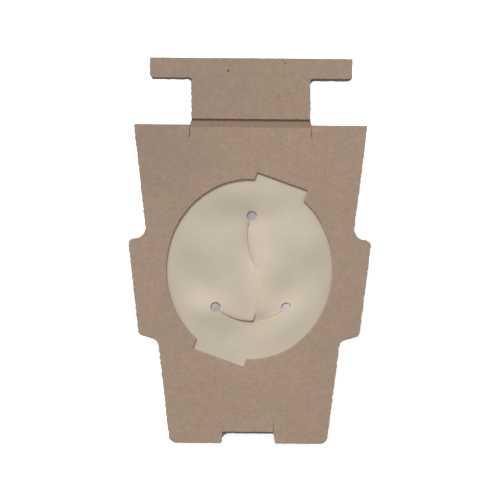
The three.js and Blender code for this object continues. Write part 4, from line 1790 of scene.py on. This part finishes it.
    def cut_edges(self, loop: Array) -> Array:
        """How far the edges of the holes and cuts are rounded.

        It is hardly at all where the middle cut stays closed, and most below the curved cut's right part.

        Args:
            loop: The edge of all that is cut out.

        Returns:
            The rounding at each point.
        """
        up = loop[:, 1] - self.mouth.centre[1]
        above_tip = loop[:, 1] > self.tip[1] + self.closed_above_tip
        beside = np.abs(self.beside_middle(loop)) < self.closed_beside
        closed = beside * smooth_share(-up, *self.closed_crush_levels) * above_tip
        below = -self.above_curve(loop)
        lit = (below > 0) & (below < self.curve_width)
        right_part = smooth_share(loop[:, 0] - self.tip[0], *self.lit_levels)
        crush = self.edge_crush + (self.closed_crush - self.edge_crush) * closed
        return crush + self.lit_crush * lit * right_part

    def painted_shade_amount(self, points: Array, edge: Array) -> Array:
        """How much painted shade the sheet takes: along the mouth's edge by exp(-distance / reach), but not
        at its foot, which is lit.

        The curved cut's left part, where the flap stands proud and shades the sheet below it, takes painted
        shade as well.

        Args:
            points: The sheet's points.
            edge: The mouth's edge.

        Returns:
            The painted shade at each point, from 0 to 1.
        """
        upper = smooth_share(points[:, 1] - self.mouth.centre[1], *self.rim_shade_levels)
        rim_shade = np.exp(-nearest(points, edge) / self.rim_shade_reach) * upper
        x, y = points[:, 0], points[:, 1]
        left_part = (x > self.left[0]) & (x < self.tip[0] + self.curve_shade_past) & (y < self.left[1])
        from_curve = np.abs(self.above_curve(points))
        curve_shade = self.curve_shade * np.exp(-from_curve / self.curve_shade_reach) * left_part
        return np.maximum(rim_shade, curve_shade)

    def build(self) -> None:
        """Builds and dresses the seal."""
        low, high = node_box(SoftPiece.SEAL.value)
        radii = (high[:2] - low[:2]) / 2
        outer = self.mouth.centre + radii * ways_round(self.rim_points)
        loops = [respaced(outer, self.rim_spacing), respaced(self.opening(), self.edge_spacing)[::-1]]
        top = node_box(Layer.FRONT.value)[0][2]
        crush = [np.full(len(loops[0]), self.edge_crush), self.cut_edges(loops[1])]
        rim = Rim(rear=self.edge_crush, rows=self.edge_rows)
        edge = self.mouth.loop(self.rim_shade_spacing)
        rings = [inset(edge, np.full(len(edge), distance)) for distance in self.rim_shade_rings]
        sheet = Sheet(loops, crush, top - self.thickness, top, self.face_spacing, rim, rings)
        points, faces, cut = sheet.build()
        points[:, 2] += self.height(points)
        piece = make_piece("mouth_seal_piece", points, faces, [True, True, True])
        piece.data.set_sharp_from_angle(angle=math.radians(self.sharp_angle))
        store(piece, CUT, cut)
        # Painted shade, kept for the rubber's finish.
        store(piece, PAINTED_SHADE, self.painted_shade_amount(points, edge))
        settle(piece, self.finish.material(), SoftPiece.SEAL.value)
        width, length = 2 * radii * MM
        area = math.pi / 4 * width * length


# The pouch

@dataclass
class Pouch:
    """The filter pouch: one flattened tube of cloth with tucked sides, folded to and fro into five legs."""

    collar: Collar
    seal: Seal
    finish: ClothFinish = field(default_factory=ClothFinish)
    legs: int = 5
    leg_length: float = 120.0
    top_setback: float = 14.0
    side_margin: float = 3.0
    thickness: float = 1.5
    fold_gap: float = 0.375
    fold_points: int = 14
    gusset: float = 4.5
    gusset_steps: Triple = (-0.35, -0.7, -1.0)
    gusset_heights: Triple = (0.05, 0.03, 0.0)
    lip_points: int = 7
    lip_level: float = 0.53
    lip_rise: float = 0.47
    seam_length: float = 7.0
    seam_ramp: float = 3.0
    seam_thickness: float = 0.5
    thinnest: float = 0.5
    mouth_start: float = 0.02
    mouth_slope: float = 0.16
    stray: float = 0.55
    stray_seed: int = 7
    side_stray: float = 0.25
    side_length: float = 46.0
    side_seed: int = 31
    leg_apart: float = 40.0
    leg_shift: float = 0.3
    leg_turn: float = 2.4
    leg_phase: float = 0.7
    wave: float = 0.22
    wave_length: float = 34.0
    wave_stretch: Pair = (1.0, 0.55)
    wave_seed: int = 41
    spacing: float = 1.4
    columns: int = 21
    column_power: float = 1.6

    @property
    def pitch(self) -> float:
        """How far one leg lies above the next."""
        return self.thickness + self.fold_gap

    def course(self) -> tuple[Array, Array, Array, Array]:
        """The pouch's middle line: legs along Y, joined by half circles, from the collar down to the surface.

        Returns:
            For each station its (y, z), the angle of its course in the YZ plane, its distance along the
            cloth, and the leg that it belongs to.
        """
        top = self.collar.shoulder_y - self.top_setback
        low = top - self.leg_length
        high_z = node_box(SoftPiece.POUCH.value)[1][2] - self.thickness / 2
        chance = np.random.default_rng(self.stray_seed)
        ends = chance.uniform(-self.stray, self.stray, self.legs - 1)
        turn = np.linspace(0, np.pi, self.fold_points)[1:-1]
        spots, angles, leg_of = [], [], []
        y_start = top
        for leg in range(self.legs):
            down = leg % 2 == 0
            way = -1.0 if down else 1.0
            last = leg == self.legs - 1
            y_end = (low if down else top) + (0.0 if last else ends[leg])
            z = high_z - leg * self.pitch
            count = int(abs(y_end - y_start) / self.spacing)
            spots.append(np.column_stack([np.linspace(y_start, y_end, count), np.full(count, z)]))
            angles.append(np.full(count, np.pi if down else 0.0))
            leg_of.append(np.full(count, float(leg)))
            if not last:
                arc_y = y_end + way * self.pitch / 2 * np.sin(turn)
                spots.append(np.column_stack([arc_y, z - self.pitch / 2 * (1 - np.cos(turn))]))
                angles.append((np.pi if down else 0.0) - way * turn)
                leg_of.append(leg + turn / np.pi)
            y_start = y_end
        line = np.concatenate(spots)
        travelled = np.concatenate([[0], np.cumsum(np.hypot(*np.diff(line, axis=0).T))])
        return line, np.concatenate(angles), travelled, np.concatenate(leg_of)

    def section(self) -> tuple[Array, Array, Array]:
        """The tube's section, once round from the middle of its top.

        Returns:
            For each point how far it lies across as a share of the flat half width, how far it lies past
            that width's end in millimetres, and its height as a share of half the thickness.
        """
        flat = np.linspace(0, 1, self.columns) ** self.column_power
        lobe = np.linspace(np.pi / 2, -np.pi / 2, self.lip_points)[1:]
        lip_past = self.thickness / 4 * np.cos(lobe)
        lip_high = self.lip_level + self.lip_rise * np.sin(lobe)
        groove_past = np.array(self.gusset_steps) * self.gusset
        share = np.concatenate([flat, np.ones(len(lobe) + len(groove_past))])
        past = np.concatenate([np.zeros(len(flat)), lip_past, groove_past])
        high = np.concatenate([np.ones(len(flat)), lip_high, self.gusset_heights])
        share = np.concatenate([share, share[-2::-1]])
        past = np.concatenate([past, past[-2::-1]])
        high = np.concatenate([high, -high[-2::-1]])
        return (
            np.concatenate([share, -share[-2:0:-1]]),
            np.concatenate([past, -past[-2:0:-1]]),
            np.concatenate([high, high[-2:0:-1]]),
        )

    def fullness(self, travelled: Array) -> Array:
        """The tube's thickness as a share of its own: thin where its ends are welded shut.

        Args:
            travelled: Each station's distance along the cloth.

        Returns:
            The share at each station.
        """
        thin = self.seam_thickness / self.thickness
        from_end = np.minimum(travelled, travelled[-1] - travelled)
        return thin + (1 - thin) * smooth_share(from_end, self.seam_length, self.seam_length + self.seam_ramp)

    def half_widths(self, line: Array, travelled: Array, leg_of: Array) -> Array:
        """Half the tube's flat width, which follows the collar's taper and strays a little.

        Args:
            line: Each station's (y, z).
            travelled: Its distance along the cloth.
            leg_of: The leg that it belongs to.

        Returns:
            The half width at each station.
        """
        half = self.collar.half_width(line[:, 0]) - self.side_margin - self.thickness / 4
        places = np.column_stack([travelled, leg_of * self.leg_apart])
        return half + self.side_stray * plane_waves(places, self.side_length, self.side_seed)

    def build(self) -> None:
        """Builds and dresses the pouch: the section is carried along the course."""
        line, angles, travelled, leg_of = self.course()
        share, past, high = self.section()
        half = self.half_widths(line, travelled, leg_of)
        sideways = self.leg_shift * np.sin(leg_of * self.leg_turn + self.leg_phase)
        full = self.fullness(travelled)[:, None]
        across = share * half[:, None] + past * np.clip(full, self.thinnest, 1) + sideways[:, None]
        up = high * full * self.thickness / 2
        y = line[:, 0, None] - up * np.sin(angles)[:, None]
        z = line[:, 1, None] + up * np.cos(angles)[:, None]
        rows, columns = across.shape
        points = self.creased(np.stack([across, y, z], axis=2).reshape(-1, 3))
        index = np.arange(rows * columns).reshape(rows, columns)
        after = np.roll(index, -1, axis=1)
        quads = np.stack([index[:-1], after[:-1], after[1:], index[1:]], axis=2).reshape(-1, 4)
        ends, middles = [], []
        for row, flipped in ((0, False), (rows - 1, True)):
            number = len(points) + len(middles)
            middles.append(points[index[row]].mean(axis=0))
            fan = np.column_stack([np.full(columns, number), after[row], index[row]])
            ends.append(fan[:, ::-1] if flipped else fan)
        faces = [quads, np.concatenate(ends)]
        piece = make_piece("filter_pouch_piece", np.vstack([points, middles]), faces, [True, False])
        strides = np.hypot(np.diff(share * half.mean() + past), np.diff(high) * self.thickness / 2)
        girth = np.concatenate([[0], np.cumsum(strides)])
        self.unwrap(piece, np.column_stack([np.tile(girth, rows), np.repeat(travelled, columns)]))
        cloth = self.finish.material(self.seam_length, travelled[-1])
        settle(piece, cloth, SoftPiece.POUCH.value)
        flat_size = (2 * half.mean() * MM, travelled[-1] * MM)

    def creased(self, points: Array) -> Array:
        """Lets the middle legs wave a little, and presses or lifts the stack under the seal inside the mouth.

        Each level there is scaled by the seal's underside over the stack's height, so that no legs meet.

        Args:
            points: The tube's points.

        Returns:
            The moved points.
        """
        low, high = node_box(SoftPiece.POUCH.value)
        moved = points.copy()
        share = np.clip((points[:, 2] - low[2]) / (high[2] - low[2]), 0, 1)
        waves = plane_waves(points[:, :2] * self.wave_stretch, self.wave_length, self.wave_seed)
        moved[:, 2] += self.wave * np.sin(np.pi * share) * waves
        mouth = self.seal.mouth
        from_edge = 1 - oval_share(points, mouth.centre, mouth.radii)
        share_left = self.seal.under_cloth(points) / high[2]
        moved[:, 2] *= 1 + (share_left - 1) * smooth_share(from_edge, self.mouth_start, self.mouth_slope)
        return moved

    def unwrap(self, piece: bpy.types.Object, flat: Array) -> None:
        """Gives the cloth its own coordinates: metres round the tube, and metres along it.

        The last column's faces meet the first column again, so their far corners count on past the girth.

        Args:
            piece: The pouch.
            flat: Each point's place on the flat cloth, in millimetres, without the two ends' middles.
        """
        mesh = piece.data
        corners = np.empty(len(mesh.loops), np.int32)
        mesh.loops.foreach_get("vertex_index", corners)
        sizes = np.empty(len(mesh.polygons), np.int32)
        mesh.polygons.foreach_get("loop_total", sizes)
        known = np.vstack([flat, flat[:1], flat[-1:]])
        uv = known[corners]
        face_of = np.repeat(np.arange(len(sizes)), sizes)
        girth = flat[:, 0].max()
        quarter = girth / 4
        widest = np.zeros(len(sizes))
        np.maximum.at(widest, face_of, uv[:, 0])
        wraps = (widest[face_of] > girth - quarter) & (uv[:, 0] < quarter)
        uv[wraps, 0] += girth
        layer = mesh.uv_layers.new(name=CLOTH_UV)
        layer.data.foreach_set("uv", (uv * MM).astype(np.float32).ravel())


# The studio

@dataclass(frozen=True)
class Lamp:
    """A soft rectangular lamp: its share of the plain light level, where it stands, and its size."""

    name: str
    share: float
    zenith: float
    azimuth: float
    distance: float
    width: float
    height: float


@dataclass
class Studio:
    """A white floor under soft lamps, and a camera that looks down on the collar."""

    lens: float = 300.0
    sensor: float = 36.0
    clip_end: float = 50.0
    view_width: float = 249.1
    aim: Pair = (0.178, -0.1)
    tilt: float = 5.0
    roll: float = 0.477
    lamps: tuple[Lamp, ...] = (
        Lamp("key", 0.62, 50.0, -18.0, 4.0, 2.2, 1.0),
        Lamp("overhead", 0.2, 4.0, 0.0, 4.5, 1.6, 1.6),
    )
    floor_size: float = 10.0
    floor_drop: float = 0.0001
    floor_glow: float = 0.8
    floor_colour: float = 0.8

    def camera(self, target_z: float) -> None:
        """Places the camera above the collar, tipped back a little towards its foot.

        Its distance is view_width * lens / sensor, so that the picture's width is that wide at the collar.

        Args:
            target_z: The level of the collar's face, in millimetres.
        """
        data = bpy.data.cameras.new("camera")
        data.lens = self.lens
        data.sensor_width = self.sensor
        data.clip_end = self.clip_end
        camera = linked("camera", data)
        distance = self.view_width * self.lens / self.sensor
        target = Vector((self.aim[0], self.aim[1], target_z)) * MM
        tilt = Matrix.Rotation(math.radians(self.tilt), 4, "X")
        roll = Matrix.Rotation(math.radians(self.roll), 4, "Z")
        place = Matrix.Translation(target) @ tilt @ roll @ Matrix.Translation((0, 0, distance * MM))
        camera.matrix_world = place
        bpy.context.scene.camera = camera
        LOG.info("camera %.3f m from the collar", distance * MM)

    def light(self, lamp: Lamp) -> None:
        """Adds a lamp that faces the bag.

        A lamp of power P lights a surface that faces it from distance d with P / (pi * d^2), and a surface
        of albedo 1 then shows that divided by pi. Its azimuth counts from +Y towards +X.

        Args:
            lamp: The lamp.
        """
        data = bpy.data.lights.new(lamp.name, "AREA")
        data.shape = "RECTANGLE"
        data.size, data.size_y = lamp.width, lamp.height
        zenith, azimuth = math.radians(lamp.zenith), math.radians(lamp.azimuth)
        data.energy = lamp.share * math.pi ** 2 * lamp.distance ** 2 / math.cos(zenith)
        turn = Matrix.Rotation(-azimuth, 4, "Z") @ Matrix.Rotation(-zenith, 4, "X")
        linked(lamp.name, data).matrix_world = turn @ Matrix.Translation((0, 0, lamp.distance))

    def seen(self, shader: Shader) -> Signal:
        """Tells rays that show the background from those that only light.

        Args:
            shader: The tree that asks.

        Returns:
            1 for rays from the camera, in a reflection or behind glass, and 0 for others.
        """
        names = ("Is Camera Ray", "Is Glossy Ray", "Is Transmission Ray")
        found, *others = (shader.add("LightPath", output=name) for name in names)
        for other in others:
            found = shader.add("Math", {"operation": "MAXIMUM"}, {0: found, 1: other})
        return found

    def world(self) -> None:
        """A white world that lights the bag with what the lamps leave of the plain level."""
        world = bpy.data.worlds.new("world")
        bpy.context.scene.world = world
        shader = Shader(world)
        share = 1 - sum(lamp.share for lamp in self.lamps)
        inputs = {0: self.seen(shader), 1: 1 - share, 2: share}
        strength = shader.add("Math", {"operation": "MULTIPLY_ADD"}, inputs)
        background = shader.add("Background", inputs={"Color": WHITE, "Strength": strength})
        shader.finish("OutputWorld", background)

    def floor(self) -> None:
        """A white floor that keeps the bag's shadow: pale, and glowing a little where it is seen."""
        half, z = self.floor_size / 2, -self.floor_drop
        mesh = bpy.data.meshes.new("floor")
        corners = [(-half, -half, z), (half, -half, z), (half, half, z), (-half, half, z)]
        mesh.from_pydata(corners, [], [(0, 1, 2, 3)])
        floor = linked("floor", mesh)
        shader = Shader(bpy.data.materials.new("floor_white"))
        grey = (self.floor_colour,) * 3 + (1.0,)
        matt = shader.add("BsdfDiffuse", inputs={"Color": grey})
        strength = self.seen(shader) * self.floor_glow
        glow = shader.add("Emission", inputs={"Color": WHITE, "Strength": strength})
        shader.finish("OutputMaterial", shader.add("AddShader", inputs={0: matt, 1: glow}))
        mesh.materials.append(shader.owner)

    def build(self, target_z: float) -> None:
        """Builds the camera, the lights and the floor, and sets the plain view.

        Args:
            target_z: The level of the collar's face, in millimetres.
        """
        self.camera(target_z)
        for lamp in self.lamps:
            self.light(lamp)
        self.world()
        self.floor()
        bpy.context.scene.view_settings.view_transform = "Standard"


def main() -> None:
    """Builds the bag and its studio."""
    logging.basicConfig(level=logging.INFO, format="%(name)s %(message)s", stream=sys.stdout)
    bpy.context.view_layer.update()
    mouth = Mouth()
    collar = Collar(mouth)
    Studio().build(collar.face_z)
    collar.build()
    seal = Seal(mouth)
    seal.build()
    Pouch(collar, seal).build()


if __name__ == "__main__":
    main()
